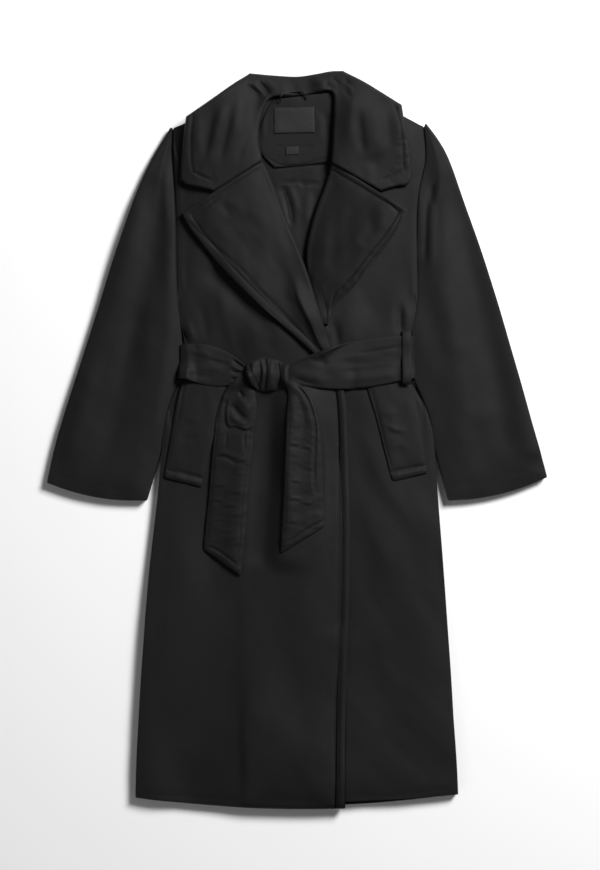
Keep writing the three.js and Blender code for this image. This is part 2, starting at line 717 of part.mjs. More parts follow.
/** The cells past a section's fold: down round two quarter turns, then back underneath. */
function pastFold(section, last, half) {
  const count = 9;
  if (section.beyond === undefined) return [];
  if (section.shut) return Array(count).fill(last);
  if (section.beyond <= 0) return Array(count).fill(null);
  const { out, back, full } = section;
  const most = { turn: 0.7, rim: 0.15 }; // as shares of the cloth past the fold
  const deep = last.mid.z - half;
  const radius = Math.min(section.radius, 0.49 * deep);
  const quarter = (Math.PI * radius) / 2;
  const whole = 2 * quarter + deep - 2 * radius;
  const beyond = section.under === undefined ? section.beyond : whole + section.under;
  const turn = Math.min(whole, most.turn * beyond);
  const bend = (quarter / whole) * turn;
  const rim = Math.min(RIM, most.rim * beyond);
  const along = [bend / 2, bend, turn - bend, turn - bend / 2, turn, mix(turn, beyond - rim, 0.5)];
  along.push(beyond - rim, beyond - 0.3 * rim, beyond);
  return along.map((s) => {
    const [first, second] = [Math.min(s, quarter), THREE.MathUtils.clamp(s - whole + quarter, 0, quarter)];
    const angle = (first + second) / radius;
    const straight = THREE.MathUtils.clamp(s - quarter, 0, whole - 2 * quarter);
    const under = Math.max(0, s - whole);
    const reach = radius * (Math.sin(first / radius) + Math.cos(second / radius) - 1);
    const down = radius * (1 - Math.cos(first / radius) + Math.sin(second / radius)) + straight;
    return {
      mid: new THREE.Vector3(
        last.mid.x + out.x * reach + back.x * under,
        last.mid.y + out.y * reach + back.y * under,
        last.mid.z - down,
      ),
      half: half * Math.min(full, bullnose((beyond - s) / rim)),
      lean: leaning(out, angle),
    };
  });
}

/** How far a roll reaches past the end of the flat part. */
function rollReach(angle, half) {
  const length = Math.PI * ROLL;
  if (angle < 1e-3) return length;
  const curve = length / angle;
  return angle > Math.PI / 2 ? curve + half : curve * Math.sin(angle) + half * smoothStep(angle / 1.6);
}

/** Fullness of the wall at a distance from each end of a row of sections. */
const endFull = (s, length) => {
  const full = bullnose(Math.min(s, length - s) / RIM);
  return full < 1e-3 ? 0 : full;
};

// ---------------------------------------------------------------- the pieces
const vector = (x, y) => new THREE.Vector2(x, y);

function makeLapel(table, stack) {
  const half = WALL.lapel / 2;
  const read = Object.fromEntries(Object.keys(table[0]).map((key) => [key, byShare(table, key)]));
  const [head, foot] = [table[0], table.at(-1)];
  const length = Math.hypot(head.rollX - foot.rollX, head.rollY - foot.rollY);
  const sections = spread(length, 7, RIM, STITCH.inset, 0).map((s) => {
    const v = s / length;
    const roll = vector(read.rollX(v), read.rollY(v));
    const far = vector(read.edgeX(v), read.edgeY(v));
    const angle = Math.PI * Math.max(0, read.turn(v));
    const inward = far.clone().sub(roll).normalize();
    const reach = Math.min(rollReach(angle, half), 0.6 * roll.distanceTo(far));
    const near = roll.clone().addScaledVector(inward, reach);
    return { near, far, roll: angle, full: endFull(s, length), toStitch: s - STITCH.inset };
  });
  return turnedPanel(sections, { thick: WALL.lapel, columns: 4, stitch: { far: STITCH.inset }, stack });
}

/** Shares of the collar's table where its sections stand. */
function collarRows() {
  const last = COLLAR.length - 1;
  const ends = [0, 0.04, 0.13, 0.36, 0.46, 0.56];
  const first = [1, 1.7, 2.4, 3, 3.4, 3.8, 4.3, 4.8, 5.3, 5.8, 6.4, 7, 8];
  const half = [...ends, ...first];
  return [...half, ...half.map((k) => last - k).reverse()];
}

function collarSection(k) {
  const last = COLLAR.length - 1;
  const half = WALL.collar / 2;
  const read = (key) => byShare(COLLAR, key)(k / last);
  const roll = vector(read('rollX'), read('rollY'));
  const fold = vector(read('foldX'), read('foldY'));
  const behind = k > BEHIND.first && k < BEHIND.last;
  const shut = k === BEHIND.first || k === BEHIND.last;
  const beyond = behind ? Math.max(4, read('beyond')) : 0;
  const radius = read('radius');
  const step = 0.25;
  const readFold = (at) => vector(byShare(COLLAR, 'foldX')(at / last), byShare(COLLAR, 'foldY')(at / last));
  const before = readFold(Math.max(k - step, BEHIND.first));
  const after = readFold(Math.min(k + step, BEHIND.last));
  const run = after.sub(before).normalize();
  const out = vector(-run.y, run.x);
  const back = vector(-0.25 * out.x, -out.y).normalize();
  const swing = Math.sin(Math.min(beyond / radius, Math.PI / 2));
  const far = fold.clone().addScaledVector(out, behind ? -(radius + half) * swing : 0);
  const angle = Math.PI * THREE.MathUtils.clamp(read('turn'), 0, 1);
  const inward = far.clone().sub(roll);
  const width = inward.length();
  const reach = Math.min(rollReach(angle, half), 0.6 * width);
  const near = roll.clone().addScaledVector(inward.divideScalar(width), reach);
  const fromEnd = Math.min(k, last - k);
  const fade = Math.max(0, 1 - fromEnd / 2) ** 2;
  const dip = (u) => -NOTCH.drop * fade * (u < NOTCH.at ? u / NOTCH.at : (1 - u) / (1 - NOTCH.at));
  const full = bullnose((fromEnd * NOTCH.span) / RIM);
  return {
    near,
    far,
    roll: angle,
    beyond,
    out,
    back,
    radius,
    shut,
    shape: dip,
    full: full < 1e-3 ? 0 : full,
    toStitch: fromEnd * NOTCH.span - STITCH.inset,
  };
}

const makeCollar = (stack) =>
  turnedPanel(collarRows().map(collarSection), {
    thick: WALL.collar,
    columns: 4,
    stitch: { far: STITCH.inset },
    stack,
  });

/** Where the collar's fall will lie, under the back. */
function fallBed() {
  const pastLine = 6;
  const shallow = 12; // the least height that the collar comes down behind the neck
  const rows = collarRows().filter((k) => k > BEHIND.first && k < BEHIND.last).map(collarSection);
  const ends = rows.map(({ far, out, back, beyond, radius }) => ({
    top: far.clone().addScaledVector(out, pastLine),
    low: far.clone().addScaledVector(back, Math.max(2, beyond - shallow - (Math.PI - 2) * radius)),
  }));
  const table = ends.map(({ top, low }) => ({ ax: top.x, ay: top.y, bx: low.x, by: low.y }));
  return panel({ ...fromTable(table), ...GRID.fallBed, thick: WALL.collar }, new Stack());
}

/** A stretch of the belt from the knot to the side, where it folds round behind. */
function makeBeltStretch(table, stack) {
  const { width, radius, tuck } = BELT;
  const side = Math.sign(table[0].bx);
  const { from, to, bow } = fromTable(table);
  const sections = spread(width, 3, RIM, 0, 0).map((s) => {
    const v = s / width;
    return {
      near: vector(...from(v)),
      far: vector(to(v)[0] - side * (radius + WALL.belt / 2), to(v)[1]),
      beyond: tuck,
      under: tuck,
      out: vector(side, 0),
      back: vector(-side, 0),
      radius,
      shape: (u) => -bow(v) * 4 * u * (1 - u),
      full: endFull(s, width),
    };
  });
  return turnedPanel(sections, { thick: WALL.belt, columns: 6, stack, soft: false });
}

/** The belt behind the back, between the tucked ends of its two front stretches. */
function makeBeltBack(halfLength) {
  const { low, highRight, highLeft } = BELT_BACK;
  const table = [
    { ax: -halfLength, ay: low, bx: halfLength, by: low },
    { ax: -halfLength, ay: highRight, bx: halfLength, by: highLeft },
  ];
  return panel({ ...fromTable(table), ...GRID.beltBack, thick: WALL.belt }, new Stack());
}

const waisted = (x, y) => -BELT_PRESS.depth * bump(y, BELT.centre, BELT_PRESS.spread);

function makeBack(stack) {
  const { top, hem, neckFade, hemFade, hemSag } = BACK;
  const [first, last] = [BACK_TOP[0], BACK_TOP.at(-1)];
  const lean = 2; // the left side sits higher than the right
  const shape = (u, s, length) => {
    const rise = backTop(mix(first.x, last.x, u)) - mix(first.y, last.y, u);
    const sag = hemSag * 4 * u * (1 - u) * Math.max(0, 1 - (length - s) / hemFade);
    return [0, rise * Math.max(0, 1 - s / neckFade) ** 2 - sag];
  };
  const height = (v) => mix(top, hem, v);
  return panel(
    {
      from: (v) => [sideLeft(height(v)), height(v) - lean],
      to: (v) => [sideRight(height(v)), height(v) + lean],
      shape,
      ...GRID.back,
      thick: WALL.shell,
      relief: waisted,
    },
    stack,
  );
}

function makeFrontRight(stack) {
  const [sideY, x, y, bow] = ['sideY', 'x', 'y', 'bow'].map((key) => byShare(FRONT_RIGHT, key));
  return panel(
    {
      from: (v) => [sideLeft(sideY(v)), sideY(v)],
      to: (v) => [x(v), y(v)],
      bow: (v) => bow(v) - HEM.right * smoothStep((v - HEM.from) / (1 - HEM.from)),
      ...GRID.front,
      thick: WALL.shell,
      relief: waisted,
      stitch: { to: STITCH.inset },
      reach: 9,
    },
    stack,
  );
}

function makeFrontLeft(stack) {
  const [sideY, x, y, bow] = ['sideY', 'x', 'y', 'bow'].map((key) => byShare(FRONT_LEFT, key));
  return panel(
    {
      from: (v) => [x(v), y(v)],
      to: (v) => [sideRight(sideY(v)), sideY(v)],
      bow: (v) => bow(v) - HEM.left * smoothStep((v - HEM.from) / (1 - HEM.from)),
      ...GRID.front,
      thick: WALL.shell,
      relief: waisted,
    },
    stack,
  );
}

/** One wall of a flattened sleeve. side is -1 for the right sleeve, which lies at -X, and 1 for the left. */
function makeSleeve(side, stack) {
  const keys = side < 0 ? ['leftX', 'leftY'] : ['rightX', 'rightY'];
  const [outX, outY, innerY] = [...keys, 'innerY'].map((key) => byShare(SLEEVE, key));
  const body = side < 0 ? sideLeft : sideRight;
  const inner = (v) => [body(innerY(v)) + side * armSpace(innerY(v)), innerY(v)];
  const outer = (v) => [outX(v), outY(v)];
  return panel(
    {
      from: side < 0 ? outer : inner,
      to: side < 0 ? inner : outer,
      bow: (v) => -CUFF.bow * smoothStep((v - CUFF.from) / (1 - CUFF.from)),
      ...GRID.sleeve,
      thick: WALL.sleeve,
    },
    stack,
  );
}

/** The knot's wrapped folds run up and down it. */
const knotFolds = (x) =>
  KNOT_FOLD.height * Math.sin((x - KNOT_FOLD.from) / KNOT_FOLD.pitch) -
  KNOT_FOLD.sag * Math.abs((x - KNOT_FOLD.middle) / KNOT_FOLD.half);

/** Cross puckers along a tail, between its topstitched edges. */
const puckers = (x, y, u, v) => PUCKER.height * Math.sin(v * PUCKER.waves) * (1 - (2 * u - 1) ** 2);

/** The cord loop that the coat hangs by. */
function makeHanger(stack) {
  const radius = WALL.loop / 2;
  const [clear, sides, steps] = [7, 8, 16];
  const rest = (x, y) => stack.near(x, y, clear) + radius + 4 * GAP;
  const path = new THREE.CatmullRomCurve3(HANGER.map(({ x, y }) => new THREE.Vector3(x, y, rest(x, y))));
  const ring = Array.from({ length: sides }, (_, k) => (2 * Math.PI * k) / sides);
  const section = new THREE.Shape(ring.map((a) => vector(radius * Math.cos(a), radius * Math.sin(a))));
  return new THREE.ExtrudeGeometry(section, { steps, extrudePath: path, bevelEnabled: false });
}

// ---------------------------------------------------------------- the coat
const coat = new THREE.Group();
const cloth = (color, roughness) => () => new THREE.MeshStandardMaterial({ color, roughness, metalness: 0 });
const shellCloth = cloth(COLOUR.shell, 0.62);
const liningCloth = cloth(COLOUR.lining, 0.5);
const labelCloth = cloth(COLOUR.label, 0.7);

/** Adds a piece to the coat and, where a stack is given, to what later pieces lie on. */
function place(name, geometry, material, stack) {
  const mesh = new THREE.Mesh(geometry, material());
  mesh.name = name;
  coat.add(mesh);
  if (stack) stack.add(geometry);
}

const body = new Stack();

/** Cuts a flat piece from its table and lays it on the body. */
function lay(name, table, spec, material) {
  place(name, panel({ ...fromTable(table), ...spec }, body), material, body);
}

const tuckEnd = BELT.reach - (BELT.radius + WALL.belt / 2) - BELT.tuck;
place('belt_back', makeBeltBack(tuckEnd - SEAM), shellCloth);
body.add(makeBeltBack(BELT.reach - BELT_BACK.short));
body.add(fallBed());
place('back', makeBack(body), shellCloth, body);
lay('lining', LINING, { ...GRID.lining, thick: WALL.lining }, liningCloth);
lay('back_facing', FACING, { ...GRID.facing, thick: WALL.facing }, shellCloth);
lay('neck_label', LABEL, { ...GRID.label, thick: WALL.label }, labelCloth);
lay('size_label', SIZE_LABEL, { ...GRID.sizeLabel, thick: WALL.sizeLabel }, labelCloth);
place('front_left', makeFrontLeft(body), shellCloth, body);
place('lapel_left', makeLapel(LAPEL_LEFT, body), shellCloth, body);
place('front_right', makeFrontRight(body), shellCloth, body);
place('lapel_right', makeLapel(LAPEL_RIGHT, body), shellCloth, body);

const arms = new Stack();
for (const [side, word] of [[-1, 'right'], [1, 'left']]) {
  place(`sleeve_${word}_under`, makeSleeve(side, arms), shellCloth, arms);
  place(`sleeve_${word}_top`, makeSleeve(side, arms), shellCloth, arms);
}

place('collar', makeCollar(body), shellCloth, body);
place('hanger_loop', makeHanger(body), liningCloth);
const welt = { ...GRID.welt, thick: WALL.welt, stitch: { end: STITCH.inset } };
lay('pocket_welt_right', WELT_RIGHT, welt, shellCloth);
lay('pocket_welt_left', WELT_LEFT, welt, shellCloth);
place('belt_right', makeBeltStretch(BELT_RIGHT, body), shellCloth, body);
place('belt_left', makeBeltStretch(BELT_LEFT, body), shellCloth, body);
lay('belt_loop', BELT_LOOP, { ...GRID.beltLoop, thick: WALL.loop }, shellCloth);
const tail = { ...GRID.tail, thick: WALL.tail, relief: puckers };
lay('belt_tail_long', TAIL_LONG, tail, shellCloth);
lay('belt_tail_short', TAIL_SHORT, tail, shellCloth);
lay('belt_knot', KNOT, { ...GRID.knot, thick: WALL.knot, relief: knotFolds }, shellCloth);

const size = new THREE.Box3().setFromObject(coat);
coat.position.set(-(size.min.x + size.max.x) / 2, -(size.min.y + size.max.y) / 2, -size.min.z);

export default coat;
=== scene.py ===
"""A padded wrap coat, laid flat on its back: the finishes and the fine form of its cloth.

Lengths are in millimetres until a mesh is written, when they become metres. Each piece's cloth
but the collar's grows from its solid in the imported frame: the solid's faces are rounded, and folds,
seams and puckers are laid on its upper side along short paths. The collar's cloth is one padded
slab over the solid's plan. +X is the wearer's left and +Y runs up the coat to the collar. Left and
right in names are the wearer's.
"""

import logging
import math
from dataclasses import dataclass, field
from enum import Enum

import bmesh
import bpy
import numpy as np
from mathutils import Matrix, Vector
from mathutils.bvhtree import BVHTree
from mathutils.geometry import delaunay_2d_cdt
from mathutils.kdtree import KDTree


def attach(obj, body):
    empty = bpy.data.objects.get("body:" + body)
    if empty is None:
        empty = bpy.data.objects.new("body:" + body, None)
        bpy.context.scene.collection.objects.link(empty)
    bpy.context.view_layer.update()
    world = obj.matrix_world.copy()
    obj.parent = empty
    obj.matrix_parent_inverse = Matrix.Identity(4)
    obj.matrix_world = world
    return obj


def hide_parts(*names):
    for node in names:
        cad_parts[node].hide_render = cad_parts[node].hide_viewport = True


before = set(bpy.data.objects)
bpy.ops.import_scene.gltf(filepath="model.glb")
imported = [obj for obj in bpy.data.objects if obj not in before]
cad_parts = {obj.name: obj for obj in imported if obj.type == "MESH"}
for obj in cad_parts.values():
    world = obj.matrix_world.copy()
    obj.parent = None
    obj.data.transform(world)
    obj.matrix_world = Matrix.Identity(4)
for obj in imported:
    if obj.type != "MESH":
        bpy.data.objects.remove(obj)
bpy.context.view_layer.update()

MM = 0.001
BODY = "root"
DOWN = Vector((0.0, 0.0, -1.0))
ABOVE_ALL = 0.2  # a height in metres over the whole coat, where the rays down start
HASH_PRIMES = [73856093, 19349663, 83492791]  # they spread the cells of the noise
FACES_UP = 0.3  # a normal that rises less than this is of the underside or the rim
LIFT_CELL = 2.5  # the cells of the grid on which a piece is lifted
LIFT_GAP = 0.15  # how far a lifted piece clears what it lies on
CREST_GAIN = 1.6  # how fast a bend of the cloth turns into a full crest or crease
CREST_ROUNDS = 3  # how often the bend is evened out over its neighbours
LEAST_SPACING = 6.0  # square millimetres; closer points than this count as this far apart
THREAD_CREST = 0.6  # the topstitching gets a slight painted highlight, as on a slight crest
CUT_SHIFT_Y = -0.7  # the cut's own axes lie this far from the middle of the coat's box

log = logging.getLogger("coat")

Points = list[tuple[float, float]]


# ------------------------------------------------------------------ small maths
def smooth(x: np.ndarray) -> np.ndarray:
    """A soft step from 0 at x = 0 to 1 at x = 1."""
    t = np.clip(x, 0.0, 1.0)
    return t * t * (3.0 - 2.0 * t)


def lattice(cells: np.ndarray, seed: int) -> np.ndarray:
    """A fixed pseudo-random value from -1 to 1 for each integer cell.

    Args:
        cells: whole numbers, one row for each cell.
        seed: another seed gives other values.

    Returns:
        One value for each row.
    """
    mixed = cells.astype(np.int64) @ np.array(HASH_PRIMES[: cells.shape[1]]) + seed * 2654435
    mixed = (mixed ^ (mixed >> 13)) * 1274126177 & 0x7FFFFFFF
    mixed = (mixed ^ (mixed >> 15)) & 0xFFFF
    return mixed / 32767.5 - 1.0


def noise(points: np.ndarray, seed: int) -> np.ndarray:
    """Smooth noise from -1 to 1 with a cell of one unit.

    Args:
        points: one row of one, two or three coordinates for each point.
        seed: another seed gives another pattern.

    Returns:
        One value for each point.
    """
    base = np.floor(points)
    share = smooth(points - base)
    total = np.zeros(len(points))
    dims = points.shape[1]
    for corner in range(2**dims):
        bits = np.array([(corner >> d) & 1 for d in range(dims)])
        weight = np.prod(np.where(bits, share, 1.0 - share), axis=1)
        total += weight * lattice(base + bits, seed)
    return total


@dataclass(frozen=True)
class Path:
    """A smooth path through a few given points, on the cut's own axes."""

    points: Points
    steps: int = 8

    def run(self) -> np.ndarray:
        """The path as a fine polyline on the frame's axes."""
        p = np.array(self.points, dtype=float) + [0.0, CUT_SHIFT_Y]
        if len(p) == 2:
            return np.linspace(p[0], p[1], self.steps + 1)
        ends = np.vstack([2 * p[0] - p[1], p, 2 * p[-1] - p[-2]])
        t = np.linspace(0, 1, self.steps, endpoint=False)[:, None]
        out = []
        for a, b, c, d in zip(ends, ends[1:], ends[2:], ends[3:]):
            bend = (2 * a - 5 * b + 4 * c - d) * t**2 + (3 * b - a - 3 * c + d) * t**3
            out.append(0.5 * (2 * b + (c - a) * t + bend))
        return np.vstack([*out, p[-1:]])

    def measure(self, xy: np.ndarray) -> tuple[np.ndarray, np.ndarray, float]:
        """Where points lie against the path.

        Args:
            xy: points in the plan.

        Returns:
            The signed distance of each point from the path, positive to its left, the distance
            along it of the nearest place, and the path's length.
        """
        line = self.run()
        best = np.full(len(xy), np.inf)
        signed = np.zeros(len(xy))
        along = np.zeros(len(xy))
        start = 0.0
        for a, b in zip(line, line[1:]):
            step = b - a
            length = float(np.hypot(*step)) or 1e-9
            t = np.clip((xy - a) @ step / length**2, 0.0, 1.0)
            off = xy - (a + t[:, None] * step)
            gap = np.hypot(off[:, 0], off[:, 1])
            side = np.sign(step[0] * off[:, 1] - step[1] * off[:, 0])
            near = gap < best
            best = np.where(near, gap, best)
            signed = np.where(near, side * gap, signed)
            along = np.where(near, start + t * length, along)
            start += length
        return signed, along, start


# ------------------------------------------------------------------ what is laid on the cloth
@dataclass(frozen=True)
class Relief:
    """Something that raises or lowers the cloth near a path."""

    points: Points

    def span(self) -> float:
        """How far from the path it reaches."""
        raise NotImplementedError

    def height_at(self, off: np.ndarray, along: np.ndarray, length: float) -> np.ndarray:
        """Height for a signed distance from the path and a distance along it."""
        raise NotImplementedError

    def rise(self, xy: np.ndarray) -> np.ndarray:
        """Height added at each point of the plan."""
        line = Path(self.points).run()
        reach = self.span()
        inside = np.all((xy > line.min(axis=0) - reach) & (xy < line.max(axis=0) + reach), axis=1)
        out = np.zeros(len(xy))
        if inside.any():
            out[inside] = self.height_at(*Path(self.points).measure(xy[inside]))
        return out


@dataclass(frozen=True)
class Fold(Relief):
    """A soft ridge, or with a height below 0 a trough; lee is its width to the path's right."""

    height: float = 1.0
    width: float = 6.0
    lee: float = 0.0
    taper: float = 0.35

    def span(self) -> float:
        """How far from the path it reaches."""
        return 2.6 * max(self.width, self.lee)

    def height_at(self, off: np.ndarray, along: np.ndarray, length: float) -> np.ndarray:
        """Height for a signed distance from the path and a distance along it."""
        width = np.where(off > 0, self.width, self.lee or self.width)
        share = along / length
        ends = smooth(share / self.taper) * smooth((1 - share) / self.taper)
        return self.height * np.exp(-((off / width) ** 2)) * ends


@dataclass(frozen=True)
class Lap(Relief):
    """A layer that ends at the path: its left side stands proud and sinks back over a distance."""

    height: float = 2.0
    fade: float = 12.0
    edge: float = 2.0
    taper: float = 0.2

    def span(self) -> float:
        """How far from the path it reaches."""
        return 3.5 * self.fade

    def height_at(self, off: np.ndarray, along: np.ndarray, length: float) -> np.ndarray:
        """Height for a signed distance from the path and a distance along it."""
        share = along / length
        ends = smooth(share / self.taper) * smooth((1 - share) / self.taper)
        crown = smooth(off / self.edge + 0.5) * np.exp(-np.maximum(off, 0.0) / self.fade)
        shade = -0.25 * np.exp(-((off + 0.8 * self.edge) ** 2) / (0.9 * self.edge) ** 2)
        return self.height * (crown + shade) * ends


@dataclass(frozen=True)
class Seam(Relief):
    """A sewn line: a groove, with uneven puckers that run across it and fade to both sides."""

    depth: float = 1.1
    width: float = 1.9
    pucker: float = 0.55
    pitch: float = 9.0
    reach: float = 10.0
    seed: int = 1
    sewn: bool = True

    def span(self) -> float:
        """How far from the path it reaches."""
        return 2.4 * self.reach

    def height_at(self, off: np.ndarray, along: np.ndarray, length: float) -> np.ndarray:
        """Height for a signed distance from the path and a distance along it."""
        ends = np.maximum(smooth(along / 6.0) * smooth((length - along) / 6.0), 0.4)
        groove = -self.depth * np.exp(-((off / self.width) ** 2)) * ends
        lean = 0.35 * off * lattice(np.floor(along / 40.0)[:, None], self.seed + 3)
        grid = np.column_stack([(along + lean) / self.pitch, off / (3.2 * self.reach) + 7.5])
        waves = noise(grid, self.seed) + 0.5 * noise(grid * [2.3, 1.6], self.seed + 5)
        drift = noise(np.column_stack([along / 55.0]), self.seed + 8)
        calm = 0.35 + 0.65 * smooth(0.5 + 0.9 * drift)
        near = np.exp(-((off / self.reach) ** 2)) * (1 - 0.8 * np.exp(-((off / 2.2) ** 2)))
        return groove + self.pucker * waves * near * calm


@dataclass(frozen=True)
class Ripple:
    """Broad uneven softness over a whole piece, longer one way than the other."""

    height: float
    across: float
    along: float
    heading: float = 90.0
    seed: int = 1

    def rise(self, xy: np.ndarray) -> np.ndarray:
        """Height added at each point; heading is the way the ripples run, in degrees from +X."""
        turn = math.radians(self.heading)
        lengthwise = xy @ [math.cos(turn), math.sin(turn)]
        crosswise = xy @ [-math.sin(turn), math.cos(turn)]
        warp = noise(xy / (1.7 * self.along), self.seed + 50)
        grid = np.column_stack([lengthwise / self.along, crosswise / self.across + 0.6 * warp])
        broad = noise(grid, self.seed)
        return self.height * (broad + 0.45 * noise(grid * 2.1 + 5.0, self.seed + 9))


@dataclass(frozen=True)
class Meet:
    """An edge where an upper and a lower panel turn into each other, with no gap between them."""

    points: Points
    level: float = 8.15
    wall: float = 8.0
    reach: float = 16.0

    def settle(self, points: np.ndarray) -> None:
        """Draws the panel's rim to the level between the two panels, in place."""
        off, _, _ = Path(self.points).measure(points[:, :2])
        share = smooth((self.reach - np.abs(off)) / (0.5 * self.reach))
        side = 1.0 if np.median(points[:, 2]) > self.level else -1.0
        out = side * (points[:, 2] - self.level)
        joined = 2.0 * np.maximum(0.0, out - 0.5 * self.wall - 0.15)
        points[:, 2] += side * share * (joined - out) * (out < self.wall + 2.0)


@dataclass(frozen=True)
class Shift:
    """Draws the cloth near a path, top and underside together, by a step in three directions."""

    points: Points
    by: tuple[float, float, float]
    reach: float = 30.0

    def apply(self, points: np.ndarray) -> None:
        """Moves the places near the path, in place."""
        off, along, length = Path(self.points).measure(points[:, :2])
        share = along / length
        ends = smooth(share / 0.35) * smooth((1 - share) / 0.35)
        points += (smooth(1.0 - np.abs(off) / self.reach) * ends)[:, None] * np.array(self.by)


# ------------------------------------------------------------------ shader groups and finishes
def maths(tree: bpy.types.NodeTree, kind: str, first: object,
          second: object) -> bpy.types.NodeSocket:
    """A Math node on two sockets or numbers.

    Args:
        tree: the tree that it goes into.
        kind: the operation.
        first: a socket or a number.
        second: a socket or a number.

    Returns:
        The node's output.
    """
    node = tree.nodes.new("ShaderNodeMath")
    node.operation = kind
    for place, value in zip(node.inputs, (first, second)):
        if isinstance(value, bpy.types.NodeSocket):
            tree.links.new(value, place)
        else:
            place.default_value = value
    return node.outputs[0]


def shader_group(name: str, inputs: dict[str, object], outputs: list[str]) -> tuple:
    """A node group with named sockets.

    Args:
        name: the group's name.
        inputs: each input's name with a number or a colour.
        outputs: the names of the outputs; one that ends in Colour is a colour.

    Returns:
        The group, its input node and its output node.
    """
    tree = bpy.data.node_groups.new(name, "ShaderNodeTree")
    for label, value in inputs.items():
        kind = "NodeSocketColor" if isinstance(value, tuple) else "NodeSocketFloat"
        tree.interface.new_socket(label, in_out="INPUT", socket_type=kind).default_value = value
    for label in outputs:
        kind = "NodeSocketColor" if label.endswith("Colour") else "NodeSocketFloat"
        tree.interface.new_socket(label, in_out="OUTPUT", socket_type=kind)
    return tree, tree.nodes.new("NodeGroupInput"), tree.nodes.new("NodeGroupOutput")


def mix_colour(tree: bpy.types.NodeTree, share: object, first: object,
               second: object) -> bpy.types.NodeSocket:
    """A colour between two, by a share.

    Args:
        tree: the tree that it goes into.
        share: a socket or a number from 0 to 1.
        first: a socket or a colour for 0.
        second: a socket or a colour for 1.

    Returns:
        The mixed colour.
    """
    node = tree.nodes.new("ShaderNodeMix")
    node.data_type = "RGBA"
    for index, value in ((0, share), (6, first), (7, second)):
        if isinstance(value, bpy.types.NodeSocket):
            tree.links.new(value, node.inputs[index])
        else:
            node.inputs[index].default_value = value
    return node.outputs[2]


class Shaders:
    """Shader groups that more than one finish uses, each built once."""

    def __init__(self) -> None:
        """Builds the groups."""
        self.weave = self.make_weave()
        self.mottle = self.make_mottle()
        self.painted_highlight_and_shade = self.make_painted_highlight_and_shade()

    @staticmethod
    def make_weave() -> bpy.types.NodeTree:
        """Twill threads along the piece's grain: a height, and a mask of the threads on top."""
        tree, given, out = shader_group("twill_weave", {"Pitch": 0.45, "Wander": 0.2},
                                        ["Height", "Mask"])
        grain = tree.nodes.new("ShaderNodeUVMap")
        grain.uv_map = "grain"
        wobble = tree.nodes.new("ShaderNodeTexNoise")
        wobble.inputs["Scale"].default_value = 30.0
        wobble.inputs["Detail"].default_value = 2.0
        tree.links.new(grain.outputs[0], wobble.inputs["Vector"])
        split = tree.nodes.new("ShaderNodeSeparateXYZ")
        tree.links.new(grain.outputs[0], split.inputs[0])
        turn = maths(tree, "DIVIDE", 2.0 * math.pi / MM, given.outputs["Pitch"])
        shift = maths(tree, "MULTIPLY", wobble.outputs[0],
                      maths(tree, "MULTIPLY", given.outputs["Wander"], MM))
        weft = maths(tree, "ADD", split.outputs["X"], shift)
        rib = maths(tree, "ADD", weft, split.outputs["Y"])
        ribs = maths(tree, "SINE", maths(tree, "MULTIPLY", rib, turn), 0.0)
        threads = maths(tree, "SINE",
                        maths(tree, "MULTIPLY", maths(tree, "MULTIPLY", weft, turn), 2.0), 0.0)
        height = maths(tree, "ADD", maths(tree, "MULTIPLY", ribs, 0.6),
                       maths(tree, "MULTIPLY", threads, 0.3))
        tree.links.new(height, out.inputs["Height"])
        tree.links.new(maths(tree, "MULTIPLY_ADD", height, 0.5), out.inputs["Mask"])
        return tree

    @staticmethod
    def make_mottle() -> bpy.types.NodeTree:
        """Soft uneven patches, a fine crumple and flecks, as masks from 0 to 1."""
        sizes = {"Patch Size": 70.0, "Crumple Size": 14.0, "Fleck Size": 1.6}
        tree, given, out = shader_group("cloth_mottle", sizes, ["Patches", "Crumple", "Flecks"])
        place = tree.nodes.new("ShaderNodeTexCoord").outputs["Object"]
        for size, mask, detail in (
            ("Patch Size", "Patches", 3.0),
            ("Crumple Size", "Crumple", 2.5),
            ("Fleck Size", "Flecks", 2.0),
        ):
            texture = tree.nodes.new("ShaderNodeTexNoise")
            texture.inputs["Detail"].default_value = detail
            texture.inputs["Distortion"].default_value = 0.3
            tree.links.new(place, texture.inputs["Vector"])
            tree.links.new(maths(tree, "DIVIDE", 1.0 / MM, given.outputs[size]),
                           texture.inputs["Scale"])
            tree.links.new(texture.outputs[0], out.inputs[mask])
        return tree

    @staticmethod
    def make_painted_highlight_and_shade() -> bpy.types.NodeTree:
        """Painted highlight on the cloth's crests and painted shade in its creases, by the crest
        attribute.
        """
        black = (0.0, 0.0, 0.0, 1.0)
        inputs = {"Cloth": black, "Crest": black, "Crease": black}
        tree, given, out = shader_group("rubbed_cloth", inputs, ["Colour", "Share"])
        crest = tree.nodes.new("ShaderNodeAttribute")
        crest.attribute_name = "crest"
        up = maths(tree, "SUBTRACT", crest.outputs["Fac"], 0.5)
        high = maths(tree, "MINIMUM", maths(tree, "MAXIMUM", maths(tree, "MULTIPLY", up, 2.0), 0.0),
                     1.0)
        low = maths(tree, "MINIMUM", maths(tree, "MAXIMUM", maths(tree, "MULTIPLY", up, -2.0), 0.0),
                    1.0)
        raised = mix_colour(tree, high, given.outputs["Cloth"], given.outputs["Crest"])
        tree.links.new(mix_colour(tree, low, raised, given.outputs["Crease"]), out.inputs["Colour"])
        tree.links.new(crest.outputs["Fac"], out.inputs["Share"])
        return tree


